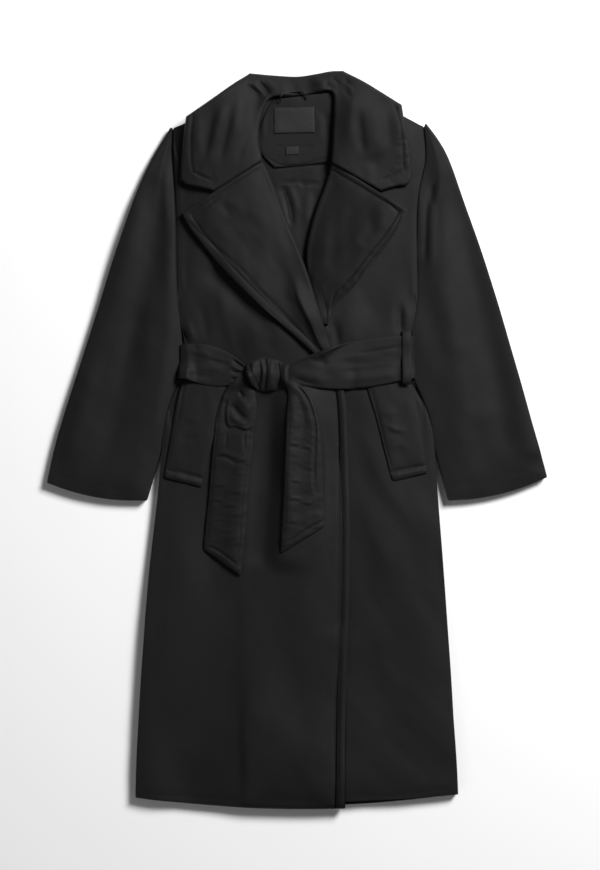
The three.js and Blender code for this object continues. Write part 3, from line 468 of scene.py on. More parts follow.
@dataclass(frozen=True)
class Finish:
    """The finish of a cloth or a thread."""

    name: str
    slot: str
    colour: tuple[float, float, float]
    patch: float = 1.35
    # crest and crease are the colour's shares for the painted highlight on crests and the painted
    # shade in creases
    crest: float = 1.4
    crease: float = 0.5
    roughness: float = 0.72
    specular: float = 0.19
    sheen: float = 0.015
    pitch: float = 0.45
    thread_bump: float = 0.14
    crumple_bump: float = 0.22

    def tone(self, share: float) -> tuple[float, float, float, float]:
        """The colour made lighter or darker."""
        return tuple(c * share for c in self.colour) + (1.0,)

    def material(self, shaders: Shaders) -> bpy.types.Material:
        """The material, made once for each finish.

        Args:
            shaders: the shared groups.

        Returns:
            The material with its nodes.
        """
        made = bpy.data.materials.get(self.name)
        if made:
            return made
        made = bpy.data.materials.new(self.name)
        made.use_nodes = True
        tree = made.node_tree
        surface = tree.nodes["Principled BSDF"]
        surface.inputs["Sheen Weight"].default_value = self.sheen
        surface.inputs["Sheen Roughness"].default_value = 0.4
        surface.inputs["Specular IOR Level"].default_value = self.specular
        groups = []
        for group in (shaders.weave, shaders.mottle, shaders.painted_highlight_and_shade):
            node = tree.nodes.new("ShaderNodeGroup")
            node.node_tree = group
            groups.append(node)
        weave, mottle, painted_highlight_and_shade = groups
        weave.inputs["Pitch"].default_value = self.pitch
        uneven = maths(tree, "MULTIPLY", mottle.outputs["Patches"], mottle.outputs["Flecks"])
        share = maths(tree, "ADD", uneven, maths(tree, "MULTIPLY", weave.outputs["Mask"], 0.25))
        cloth = mix_colour(tree, share, self.tone(0.85), self.tone(self.patch))
        tree.links.new(cloth, painted_highlight_and_shade.inputs["Cloth"])
        # painted highlight on the crests and painted shade in the creases
        painted_highlight_and_shade.inputs["Crest"].default_value = self.tone(self.crest)
        painted_highlight_and_shade.inputs["Crease"].default_value = self.tone(self.crease)
        tree.links.new(painted_highlight_and_shade.outputs["Colour"], surface.inputs["Base Color"])
        rough = tree.nodes.new("ShaderNodeMapRange")
        rough.inputs["To Min"].default_value = self.roughness + 0.06
        rough.inputs["To Max"].default_value = self.roughness - 0.06
        mixed = maths(tree, "MULTIPLY_ADD", mottle.outputs["Patches"], 0.5)
        tree.links.new(maths(tree, "MULTIPLY", painted_highlight_and_shade.outputs["Share"], 0.5), mixed.node.inputs[2])
        tree.links.new(mixed, rough.inputs["Value"])
        tree.links.new(rough.outputs["Result"], surface.inputs["Roughness"])
        normal = None
        for strength, depth, height in (
            (self.crumple_bump, 1.2, mottle.outputs["Crumple"]),
            (self.thread_bump, 0.1, weave.outputs["Height"]),
        ):
            bump = tree.nodes.new("ShaderNodeBump")
            bump.inputs["Strength"].default_value = strength
            bump.inputs["Distance"].default_value = depth * MM
            tree.links.new(height, bump.inputs["Height"])
            if normal:
                tree.links.new(normal, bump.inputs["Normal"])
            normal = bump.outputs["Normal"]
        tree.links.new(normal, surface.inputs["Normal"])
        return made


SHELL = Finish("shell_satin", "shell_cloth", (0.0052, 0.0052, 0.0053))
LINING = Finish("lining_twill", "lining_cloth", (0.0048, 0.0048, 0.0051), roughness=0.55,
                pitch=0.35)
# the label's colour is a little lighter than the shell's as a painted sheen
LABEL = Finish("label_weave", "label_cloth", (0.0075, 0.0075, 0.0078), roughness=0.6, pitch=0.3,
               specular=0.28)
THREAD = Finish("black_thread", "shell_cloth", (0.006, 0.006, 0.0062), roughness=0.5, pitch=0.2)


# ------------------------------------------------------------------ cloth grown from a solid
class Ground:
    """The finished cloth so far, for what lies on it."""

    def __init__(self) -> None:
        """Starts with nothing laid."""
        self.trees: dict[str, BVHTree] = {}

    def add(self, node: str, mesh: bpy.types.Mesh) -> None:
        """Keeps a finished piece's surface."""
        points = [v.co.copy() for v in mesh.vertices]
        self.trees[node] = BVHTree.FromPolygons(points, [tuple(p.vertices) for p in mesh.polygons])

    def top(self, nodes: tuple[str, ...], x: float, y: float) -> float:
        """The highest surface of some pieces at a place, in millimetres, or -1 for none."""
        best = -1.0
        for node in nodes:
            hit = self.trees[node].ray_cast(Vector((x * MM, y * MM, ABOVE_ALL)), DOWN)[0]
            if hit is not None:
                best = max(best, hit.z / MM)
        return best


@dataclass
class ClothPiece:
    """One piece of cloth, rounded from its solid and finished with what is laid on it."""

    node: str
    finish: Finish
    flat: tuple[float, float]
    area: float
    levels: int = 2
    held: str = "laid"
    over: tuple[str, ...] = ()
    laid: list[Relief | Ripple] = field(default_factory=list)
    meets: list[Meet] = field(default_factory=list)
    grow_by: float = 0.8
    grain: float = 0.0
    fit: float = 0.85
    loft: float = 0.0
    loft_reach: float = 25.0
    soften: float = 5.0
    most: float = 9.0
    under: float = math.inf
    calm: int = 0
    shifts: list["Shift"] = field(default_factory=list)

    def cage(self) -> bpy.types.Object:
        """The solid's faces, joined into quads, as a new object."""
        solid = bpy.data.objects[self.node]
        mesh = bpy.data.meshes.new(f"{self.node}_cloth")
        work = bmesh.new()
        work.from_mesh(solid.data)
        work.transform(solid.matrix_world)
        bmesh.ops.remove_doubles(work, verts=work.verts, dist=1e-6)
        turn = math.radians(60)
        bmesh.ops.join_triangles(work, faces=work.faces, angle_face_threshold=turn,
                                 angle_shape_threshold=turn)
        work.to_mesh(mesh)
        work.free()
        made = bpy.data.objects.new(f"{self.node}_cloth", mesh)
        bpy.context.scene.collection.objects.link(made)
        return made

    @staticmethod
    def coordinates(mesh: bpy.types.Mesh, what: str = "co") -> np.ndarray:
        """A mesh's places or normals as rows."""
        values = np.empty(3 * len(mesh.vertices))
        mesh.vertices.foreach_get(what, values)
        return values.reshape(-1, 3)

    @staticmethod
    def rounded(made: bpy.types.Object, levels: int) -> bpy.types.Mesh:
        """The cage subdivided into a new mesh."""
        soft = made.modifiers.new("soft", "SUBSURF")
        soft.levels = soft.render_levels = levels
        depsgraph = bpy.context.evaluated_depsgraph_get()
        mesh = bpy.data.meshes.new_from_object(made.evaluated_get(depsgraph))
        made.modifiers.clear()
        return mesh

    def grow(self) -> bpy.types.Object:
        """Subdivides the cage, drawn out first so that the surface keeps the solid's outline."""
        made = self.cage()
        aim = self.coordinates(made.data)
        for _ in range(2 if self.fit else 0):
            trial = self.rounded(made, 1)
            places = self.coordinates(made.data)
            pull = [self.fit, self.fit, 0.7 * self.fit]
            places += (aim - self.coordinates(trial)[: len(aim)]) * pull
            made.data.vertices.foreach_set("co", places.ravel())
            made.data.update()
            bpy.data.meshes.remove(trial)
        cage = made.data
        made.data = self.rounded(made, self.levels)
        bpy.data.meshes.remove(cage)
        return made

    def lofting(self, points: np.ndarray, normals: np.ndarray) -> np.ndarray:
        """How the padding swells away from the piece's rim."""
        rim = np.nonzero(np.abs(normals[:, 2]) < 0.35)[0]
        tree = KDTree(len(rim))
        for index in rim:
            tree.insert((points[index, 0], points[index, 1], 0.0), int(index))
        tree.balance()
        rise = np.zeros(len(points))
        for index in np.nonzero(normals[:, 2] > 0.0)[0]:
            gap = tree.find((points[index, 0], points[index, 1], 0.0))[2]
            rise[index] = 1.0 - math.exp(-((gap / self.loft_reach) ** 1.4))
        return self.loft * rise

    def lift_clear(self, points: np.ndarray, normals: np.ndarray, ground: Ground) -> None:
        """Raises underside and top together, softly, where they would dip into what lies below."""
        cell = LIFT_CELL
        corner = points[:, :2].min(axis=0) - 2 * cell
        shape = tuple(np.ceil((points[:, :2].max(axis=0) - corner) / cell).astype(int) + 3)
        need = np.full(shape, -1.0)
        for x, y, z in points[normals[:, 2] < FACES_UP]:
            dip = ground.top(self.over, x, y) + LIFT_GAP - z
            at = int((x - corner[0]) / cell + 0.5), int((y - corner[1]) / cell + 0.5)
            need[at] = max(need[at], min(dip, self.most) if dip < self.under else 0.0, 0.0)
        if need.max() <= 0.0:
            return
        rounds = max(1, round(self.soften / cell))
        for _ in range(rounds):
            need = self.around(need).max(axis=0)
        lift, share = np.where(need >= 0.0, need, 0.0), (need >= 0.0).astype(float)
        for _ in range(rounds):
            lift, share = self.around(lift).mean(axis=0), self.around(share).mean(axis=0)
        lift /= np.maximum(share, 1e-6)
        grid = (points[:, :2] - corner) / cell
        low = np.floor(grid).astype(int)
        part = grid - low
        for dx, dy in ((0, 0), (1, 0), (0, 1), (1, 1)):
            weight = np.abs(1 - dx - part[:, 0]) * np.abs(1 - dy - part[:, 1])
            points[:, 2] += weight * lift[low[:, 0] + dx, low[:, 1] + dy]

    @staticmethod
    def around(grid: np.ndarray) -> np.ndarray:
        """A grid with its eight neighbours, stacked."""
        wide = np.pad(grid, 1, mode="edge")
        rows, columns = grid.shape
        return np.stack([wide[i : i + rows, j : j + columns] for i in range(3) for j in range(3)])

    def even_out(self, mesh: bpy.types.Mesh, points: np.ndarray, normals: np.ndarray) -> None:
        """Draws each place's height towards its neighbours', away from the piece's rim."""
        edges = np.empty(2 * len(mesh.edges), dtype=np.int64)
        mesh.edges.foreach_get("vertices", edges)
        a, b = edges.reshape(-1, 2).T
        ends, others = np.concatenate([a, b]), np.concatenate([b, a])
        degree = np.maximum(np.bincount(ends, minlength=len(points)), 1)
        share = smooth((np.abs(normals[:, 2]) - 0.75) / 0.2)
        for _ in range(self.calm):
            mean = np.bincount(ends, points[others, 2], len(points)) / degree
            points[:, 2] += share * (mean - points[:, 2])

    def mark_crests(self, mesh: bpy.types.Mesh, points: np.ndarray) -> None:
        """Keeps how far each place stands out of its surroundings, as an attribute from 0 to 1, for
        the painted highlight on crests and the painted shade in creases.
        """
        edges = np.empty(2 * len(mesh.edges), dtype=np.int64)
        mesh.edges.foreach_get("vertices", edges)
        a, b = edges.reshape(-1, 2).T
        count = len(points)
        ends, others = np.concatenate([a, b]), np.concatenate([b, a])
        degree = np.maximum(np.bincount(ends, minlength=count), 1)
        sums = [np.bincount(ends, points[others, k], count) for k in range(3)]
        mean = np.column_stack(sums) / degree[:, None]
        spacing = np.bincount(ends, np.sum((points[ends] - points[others]) ** 2, axis=1),
                              count) / degree
        normals = self.coordinates(mesh, "normal")
        bend = np.sum((points - mean) * normals, axis=1) * 4.0 / np.maximum(spacing, LEAST_SPACING)
        for _ in range(CREST_ROUNDS):
            bend = 0.5 * bend + 0.5 * np.bincount(ends, bend[others], count) / degree
        crest = mesh.attributes.new("crest", "FLOAT", "POINT")
        crest.data.foreach_set("value",
                               np.clip(0.5 + CREST_GAIN * bend, 0.0, 1.0).astype(np.float32))

    def mark_grain(self, mesh: bpy.types.Mesh, points: np.ndarray) -> None:
        """Keeps places along and across the cloth's grain as a UV map."""
        turn = math.radians(self.grain)
        steep = 0.7 * points[:, 2]
        along = points[:, 0] * math.cos(turn) + points[:, 1] * math.sin(turn) + steep
        across = -points[:, 0] * math.sin(turn) + points[:, 1] * math.cos(turn) + steep
        corners = np.empty(len(mesh.loops), dtype=np.int64)
        mesh.loops.foreach_get("vertex_index", corners)
        layer = mesh.uv_layers.new(name="grain")
        layer.data.foreach_set("uv", (np.column_stack([along, across])[corners] * MM).ravel())

    def dress(self, made: bpy.types.Object, shaders: Shaders, ground: Ground) -> None:
        """Lays the folds and seams on the upper side, and sets the finish."""
        mesh = made.data
        points = self.coordinates(mesh) / MM
        normals = self.coordinates(mesh, "normal")
        points[:, :2] += normals[:, :2] * self.grow_by
        for shift in self.shifts:
            shift.apply(points)
        for meet in self.meets:
            meet.settle(points)
        if self.calm:
            self.even_out(mesh, points, normals)
        rise = self.lofting(points, normals) if self.loft else np.zeros(len(points))
        for one in self.laid:
            rise += one.rise(points[:, :2])
        upper = smooth((normals[:, 2] - 0.1) / 0.5)
        points[:, 2] += rise * upper
        if self.over:
            self.lift_clear(points, normals, ground)
        points[:, 2] = np.maximum(points[:, 2], 0.0)
        mesh.vertices.foreach_set("co", (points * MM).ravel())
        mesh.update()
        self.mark_crests(mesh, points)
        self.mark_grain(mesh, points)
        mesh.materials.clear()
        mesh.materials.append(self.finish.material(shaders))
        mesh.polygons.foreach_set("use_smooth", [True] * len(mesh.polygons))
        ground.add(self.node, mesh)

    def build(self, shaders: Shaders, ground: Ground) -> bpy.types.Object:
        """Makes the piece, hangs it on the coat's body and hides its solid."""
        made = self.grow()
        self.dress(made, shaders, ground)
        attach(made, BODY)
        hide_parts(self.node)
        rests = [f"{node}_cloth" for node in self.over]
        log.info("%s: %d faces", made.name, len(made.data.polygons))
        return made


@dataclass
class CollarCloth(ClothPiece):
    """The collar: one padded surface over its plan, on the heights of its solid."""

    edges: list[Points] = field(default_factory=list)
    neck_edge: Points = field(default_factory=list)
    neck_level: float = 24.6
    spacing: float = 2.3
    rim: float = 5.5
    thinnest: float = 5.0
    rounds: int = 110

    def outline(self) -> np.ndarray:
        """The plan's closed outline, at an even step along each edge."""
        runs = []
        for points in [*self.edges, self.neck_edge]:
            line = Path(points).run()
            parts = max(2, round(float(np.sum(np.hypot(*np.diff(line, axis=0).T))) / self.spacing))
            runs.append(Stitches.even(line,
                                      np.sum(np.hypot(*np.diff(line, axis=0).T)) / parts)[:parts])
        return np.vstack(runs)

    def plan(self) -> tuple[np.ndarray, np.ndarray, int]:
        """The plan's points and triangles.

        Returns:
            The points, the outline's first, then the triangles and the number of outline points.
        """
        rim = self.outline()
        low, high = rim.min(axis=0), rim.max(axis=0)
        tree = KDTree(len(rim))
        for index, (x, y) in enumerate(rim):
            tree.insert((x, y, 0.0), index)
        tree.balance()
        inner = []
        for row, y in enumerate(np.arange(low[1], high[1], self.spacing * 0.87)):
            for x in np.arange(low[0] + (row % 2) * self.spacing / 2, high[0], self.spacing):
                if self.inside(rim, x, y) and tree.find((x, y, 0.0))[2] > 0.6 * self.spacing:
                    inner.append((x, y))
        count = len(rim)
        points = [Vector(p) for p in [*rim.tolist(), *inner]]
        loop = [(i, (i + 1) % count) for i in range(count)]
        verts, _, faces, *_ = delaunay_2d_cdt(points, loop, [], 1, 1e-4)
        triangles = np.array([f for f in faces if len(f) == 3])
        return np.array([tuple(v) for v in verts]), triangles, count

    @staticmethod
    def inside(rim: np.ndarray, x: float, y: float) -> bool:
        """Whether a place is within the outline."""
        a, b = rim, np.roll(rim, -1, axis=0)
        spans = (a[:, 1] > y) != (b[:, 1] > y)
        rise = np.where(spans, b[:, 1] - a[:, 1], 1.0)
        return bool(np.sum(spans & (x < a[:, 0] + (y - a[:, 1]) * (b[:, 0] - a[:, 0]) / rise)) % 2)

    def heights(self, plan: np.ndarray) -> tuple[np.ndarray, np.ndarray]:
        """The solid's highest and lowest surface at each place, or not a number beside it."""
        solid = bpy.data.objects[self.node]
        work = bmesh.new()
        work.from_mesh(solid.data)
        tree = BVHTree.FromBMesh(work)
        work.free()
        top, low = np.full(len(plan), np.nan), np.full(len(plan), np.nan)
        for index, (x, y) in enumerate(plan * MM):
            down = tree.ray_cast(Vector((x, y, 0.2)), Vector((0.0, 0.0, -1.0)))[0]
            up = tree.ray_cast(Vector((x, y, -0.1)), Vector((0.0, 0.0, 1.0)))[0]
            if down is not None and up is not None:
                top[index], low[index] = down.z / MM, up.z / MM
        return top, low

    def relaxed(self, values: np.ndarray, fixed: np.ndarray, a: np.ndarray, b: np.ndarray,
                hold: float) -> np.ndarray:
        """Fills what is missing from its neighbours and evens the rest.

        Args:
            values: heights, or not a number where there is none.
            fixed: True where the height stays.
            a: one end of each edge, both ways round.
            b: the other end.
            hold: the share of its own height that a known place keeps in each round.

        Returns:
            The heights everywhere.
        """
        known = ~np.isnan(values)
        z = np.where(known, values, np.nanmean(values))
        degree = np.maximum(np.bincount(a, minlength=len(z)), 1)
        for turn in range(120):
            mean = np.bincount(a, z[b], len(z)) / degree
            keep = np.where(known, 1.0 if turn >= self.rounds else hold, 0.0)
            z = np.where(fixed, values, keep * z + (1.0 - keep) * mean)
        return z

    def grow(self) -> bpy.types.Object:
        """The collar as a closed shell with a round rim."""
        plan, faces, count = self.plan()
        top, low = self.heights(plan)
        ends = np.vstack([faces[:, [0, 1]], faces[:, [1, 2]], faces[:, [2, 0]]])
        a, b = np.concatenate([ends[:, 0], ends[:, 1]]), np.concatenate([ends[:, 1], ends[:, 0]])
        neck_off, _, _ = Path(self.neck_edge).measure(plan)
        sewn = (np.abs(neck_off) < 0.4) & (np.arange(len(plan)) < count)
        top = np.where(sewn, self.neck_level, top)
        low = np.where(sewn, np.nan, low)
        top = self.relaxed(top, sewn, a, b, 0.035)
        low = np.minimum(self.relaxed(low, np.zeros(len(low), bool), a, b, 0.1),
                         top - self.thinnest)
        tree = KDTree(count)
        for index in range(count):
            tree.insert((plan[index, 0], plan[index, 1], 0.0), index)
        tree.balance()
        gap = np.array([tree.find((x, y, 0.0))[2] for x, y in plan])
        gap[:count] = 0.0
        crown = np.sqrt(1.0 - (1.0 - np.clip(gap / self.rim, 0.0, 1.0)) ** 2)
        middle = top - np.minimum(self.rim, 0.5 * (top - low))
        upper = middle + (top - middle) * crown
        under = middle - (middle - low) * crown
        inner = np.arange(count, len(plan))
        below = np.arange(len(plan))
        below[inner] = len(plan) + np.arange(len(inner))
        points = np.vstack([np.column_stack([plan, upper]),
                            np.column_stack([plan[inner], under[inner]])])
        area = np.cross(plan[faces[:, 1]] - plan[faces[:, 0]],
                        plan[faces[:, 2]] - plan[faces[:, 0]])
        faces = np.where(area[:, None] > 0, faces, faces[:, ::-1])
        mesh = bpy.data.meshes.new(f"{self.node}_cloth")
        mesh.from_pydata((points * MM).tolist(), [],
                         [*faces.tolist(), *below[faces[:, ::-1]].tolist()])
        mesh.update()
        made = bpy.data.objects.new(f"{self.node}_cloth", mesh)
        bpy.context.scene.collection.objects.link(made)
        return made


# ------------------------------------------------------------------ stitches
@dataclass
class Stitches:
    """Rows of thread along the seams, laid by Geometry Nodes."""

    length: float = 2.9
    pitch: float = 3.7
    radius: float = 0.28
    proud: float = 0.1
    seed: int = 4

    def rows(self, pieces: list[ClothPiece], ground: Ground) -> bpy.types.Object:
        """The seams' paths on the finished cloth, as one curve object of poly splines."""
        curve = bpy.data.curves.new("stitch_rows", "CURVE")
        curve.dimensions = "3D"
        for piece in pieces:
            for seam in piece.laid:
                if not (isinstance(seam, Seam) and seam.sewn):
                    continue
                run: list[tuple[float, float, float]] = []
                for x, y in self.even(Path(seam.points).run(), 2.0):
                    z = ground.top((piece.node,), x, y)
                    if z > 0.0:
                        run.append((x * MM, y * MM, (z + self.proud) * MM))
                if len(run) > 3:
                    spline = curve.splines.new("POLY")
                    spline.points.add(len(run) - 1)
                    spline.points.foreach_set("co", [v for p in run for v in (*p, 1.0)])
        made = bpy.data.objects.new("topstitching", curve)
        bpy.context.scene.collection.objects.link(made)
        return made

    @staticmethod
    def even(line: np.ndarray, step: float) -> np.ndarray:
        """A polyline's places at an even step."""
        lengths = np.concatenate([[0.0], np.cumsum(np.hypot(*np.diff(line, axis=0).T))])
        at = np.arange(0.0, lengths[-1], step)
        return np.column_stack([np.interp(at, lengths, line[:, k]) for k in range(2)])

    def tree(self, thread: bpy.types.Material) -> tuple[bpy.types.NodeTree, dict[str, str]]:
        """The node tree: a short rounded thread at an even pitch along every row.

        Args:
            thread: the thread's material.

        Returns:
            The tree, and each input's identifier by name.
        """
        tree = bpy.data.node_groups.new("stitch_tree", "GeometryNodeTree")
        names = {}
        tree.interface.new_socket("Geometry", in_out="INPUT", socket_type="NodeSocketGeometry")
        for label in ("Pitch", "Length", "Radius"):
            socket = tree.interface.new_socket(label, in_out="INPUT", socket_type="NodeSocketFloat")
            names[label] = socket.identifier
        seed = tree.interface.new_socket("Seed", in_out="INPUT", socket_type="NodeSocketInt")
        names["Seed"] = seed.identifier
        tree.interface.new_socket("Geometry", in_out="OUTPUT", socket_type="NodeSocketGeometry")
        add, link = tree.nodes.new, tree.links.new
        given, out = add("NodeGroupInput"), add("NodeGroupOutput")
        spread = add("GeometryNodeCurveToPoints")
        spread.mode = "LENGTH"
        link(given.outputs["Geometry"], spread.inputs["Curve"])
        link(given.outputs["Pitch"], spread.inputs["Length"])
        ball = add("GeometryNodeMeshUVSphere")
        ball.inputs["Segments"].default_value = 6
        ball.inputs["Rings"].default_value = 5
        link(given.outputs["Radius"], ball.inputs["Radius"])
        stretch = maths(tree, "DIVIDE", given.outputs["Length"], given.outputs["Radius"])
        size = add("ShaderNodeCombineXYZ")
        size.inputs["X"].default_value = size.inputs["Y"].default_value = 1.0
        link(maths(tree, "MULTIPLY", stretch, 0.5), size.inputs["Z"])
        drawn = add("GeometryNodeTransform")
        link(ball.outputs["Mesh"], drawn.inputs["Geometry"])
        link(size.outputs[0], drawn.inputs["Scale"])
        uneven = add("FunctionNodeRandomValue")
        uneven.data_type = "FLOAT"
        uneven.inputs["Min"].default_value = 0.85
        uneven.inputs["Max"].default_value = 1.1
        link(given.outputs["Seed"], uneven.inputs["Seed"])
        lay = add("GeometryNodeInstanceOnPoints")
        link(spread.outputs["Points"], lay.inputs["Points"])
        link(drawn.outputs["Geometry"], lay.inputs["Instance"])
        link(spread.outputs["Rotation"], lay.inputs["Rotation"])
        link(uneven.outputs["Value"], lay.inputs["Scale"])
        real = add("GeometryNodeRealizeInstances")
        link(lay.outputs["Instances"], real.inputs["Geometry"])
        dye = add("GeometryNodeSetMaterial")
        dye.inputs["Material"].default_value = thread
        link(real.outputs["Geometry"], dye.inputs["Geometry"])
        link(dye.outputs["Geometry"], out.inputs["Geometry"])
        return tree, names

    def build(self, pieces: list[ClothPiece], ground: Ground, shaders: Shaders) -> None:
        """Lays the thread on every sewn seam."""
        rows = self.rows(pieces, ground)
        tree, names = self.tree(THREAD.material(shaders))
        modifier = rows.modifiers.new("stitches", "NODES")
        modifier.node_group = tree
        modifier[names["Pitch"]] = self.pitch * MM
        modifier[names["Length"]] = self.length * MM
        modifier[names["Radius"]] = self.radius * MM
        modifier[names["Seed"]] = self.seed
        depsgraph = bpy.context.evaluated_depsgraph_get()
        mesh = bpy.data.meshes.new_from_object(rows.evaluated_get(depsgraph))
        bpy.data.objects.remove(rows)
        mesh.name = "topstitching"
        # a slight painted highlight on the thread, through the finish's crest tone
        crest = mesh.attributes.new("crest", "FLOAT", "POINT")
        crest.data.foreach_set("value", [THREAD_CREST] * len(mesh.vertices))
        mesh.uv_layers.new(name="grain")
        made = bpy.data.objects.new("topstitching", mesh)
        bpy.context.scene.collection.objects.link(made)
        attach(made, BODY)
        log.info("topstitching: %d faces", len(mesh.polygons))


# ------------------------------------------------------------------ the studio
@dataclass
class Studio:
    """The pale floor, the soft light from above the collar, and the camera over the coat."""

    centre: tuple[float, float] = (4.95, 7.55)
    view_height: float = 1435.5
    lens: float = 85.0
    sensor: float = 36.0
    cloth_height: float = 20.0
    floor_reach: float = 7.0
    floor_level: float = -0.0002
    room_light: float = 0.09

    def floor(self) -> None:
        """A pale matt floor."""
        mesh = bpy.data.meshes.new("floor")
        reach, level = self.floor_reach, self.floor_level
        corners = [(-reach, -reach, level), (reach, -reach, level), (reach, reach, level),
                   (-reach, reach, level)]
        mesh.from_pydata(corners, [], [(0, 1, 2, 3)])
        floor = bpy.data.objects.new("floor", mesh)
        bpy.context.scene.collection.objects.link(floor)
        paper = bpy.data.materials.new("paper")
        paper.use_nodes = True
        surface = paper.node_tree.nodes["Principled BSDF"]
        surface.inputs["Base Color"].default_value = (0.88, 0.88, 0.88, 1.0)
        surface.inputs["Roughness"].default_value = 0.9
        surface.inputs["Specular IOR Level"].default_value = 0.1
        mesh.materials.append(paper)

    @staticmethod
    def light(name: str, place: tuple[float, float, float], size: float, power: float) -> None:
        """A square soft light that faces the coat."""
        lamp = bpy.data.lights.new(name, "AREA")
        lamp.shape = "SQUARE"
        lamp.size = size
        lamp.energy = power
        made = bpy.data.objects.new(name, lamp)
        made.location = place
        made.rotation_euler = (-Vector(place)).to_track_quat("-Z", "Y").to_euler()
        bpy.context.scene.collection.objects.link(made)

    def camera(self) -> None:
        """A camera straight down over the middle of the coat."""
        data = bpy.data.cameras.new("camera")
        data.lens = self.lens
        data.sensor_width = self.sensor
        data.clip_end = 50.0
        made = bpy.data.objects.new("camera", data)
        distance = self.view_height * self.lens / self.sensor
        made.location = (self.centre[0] * MM, self.centre[1] * MM,
                         (distance + self.cloth_height) * MM)
        bpy.context.scene.collection.objects.link(made)
        bpy.context.scene.camera = made

    def build(self) -> None:
        """Sets up floor, lights, world and camera."""
        self.floor()
        self.light("window", place=(2.1, 2.15, 2.75), size=1.4, power=272.0)
        self.light("fill", place=(-2.4, -2.6, 3.0), size=2.4, power=20.0)
        world = bpy.data.worlds.new("room")
        world.use_nodes = True
        world.node_tree.nodes["Background"].inputs["Color"].default_value = (1.0, 1.0, 1.0, 1.0)
        world.node_tree.nodes["Background"].inputs["Strength"].default_value = self.room_light
        bpy.context.scene.world = world
        bpy.context.scene.view_settings.view_transform = "Standard"
        self.camera()


# ------------------------------------------------------------------ the coat
class Side(Enum):
    """The wearer's side, as the sign of X."""

    RIGHT = -1
    LEFT = 1


# The side seams, where a front meets the back, from the sleeve down to the hem.
RIGHT_SEAM = [(-205, 479), (-202, 408), (-200, 304), (-195, 191), (-197, 130), (-203, 97),
              (-222, -10), (-231, -102), (-244, -218), (-251, -304), (-257, -389), (-262, -475),
              (-266, -560)]
LEFT_SEAM = [(201, 412), (197, 323), (200, 271), (200, 191), (197, 130), (198, 107), (222, 36),
             (230, -51), (239, -175), (251, -346), (257, -432), (262, -518), (265, -560)]


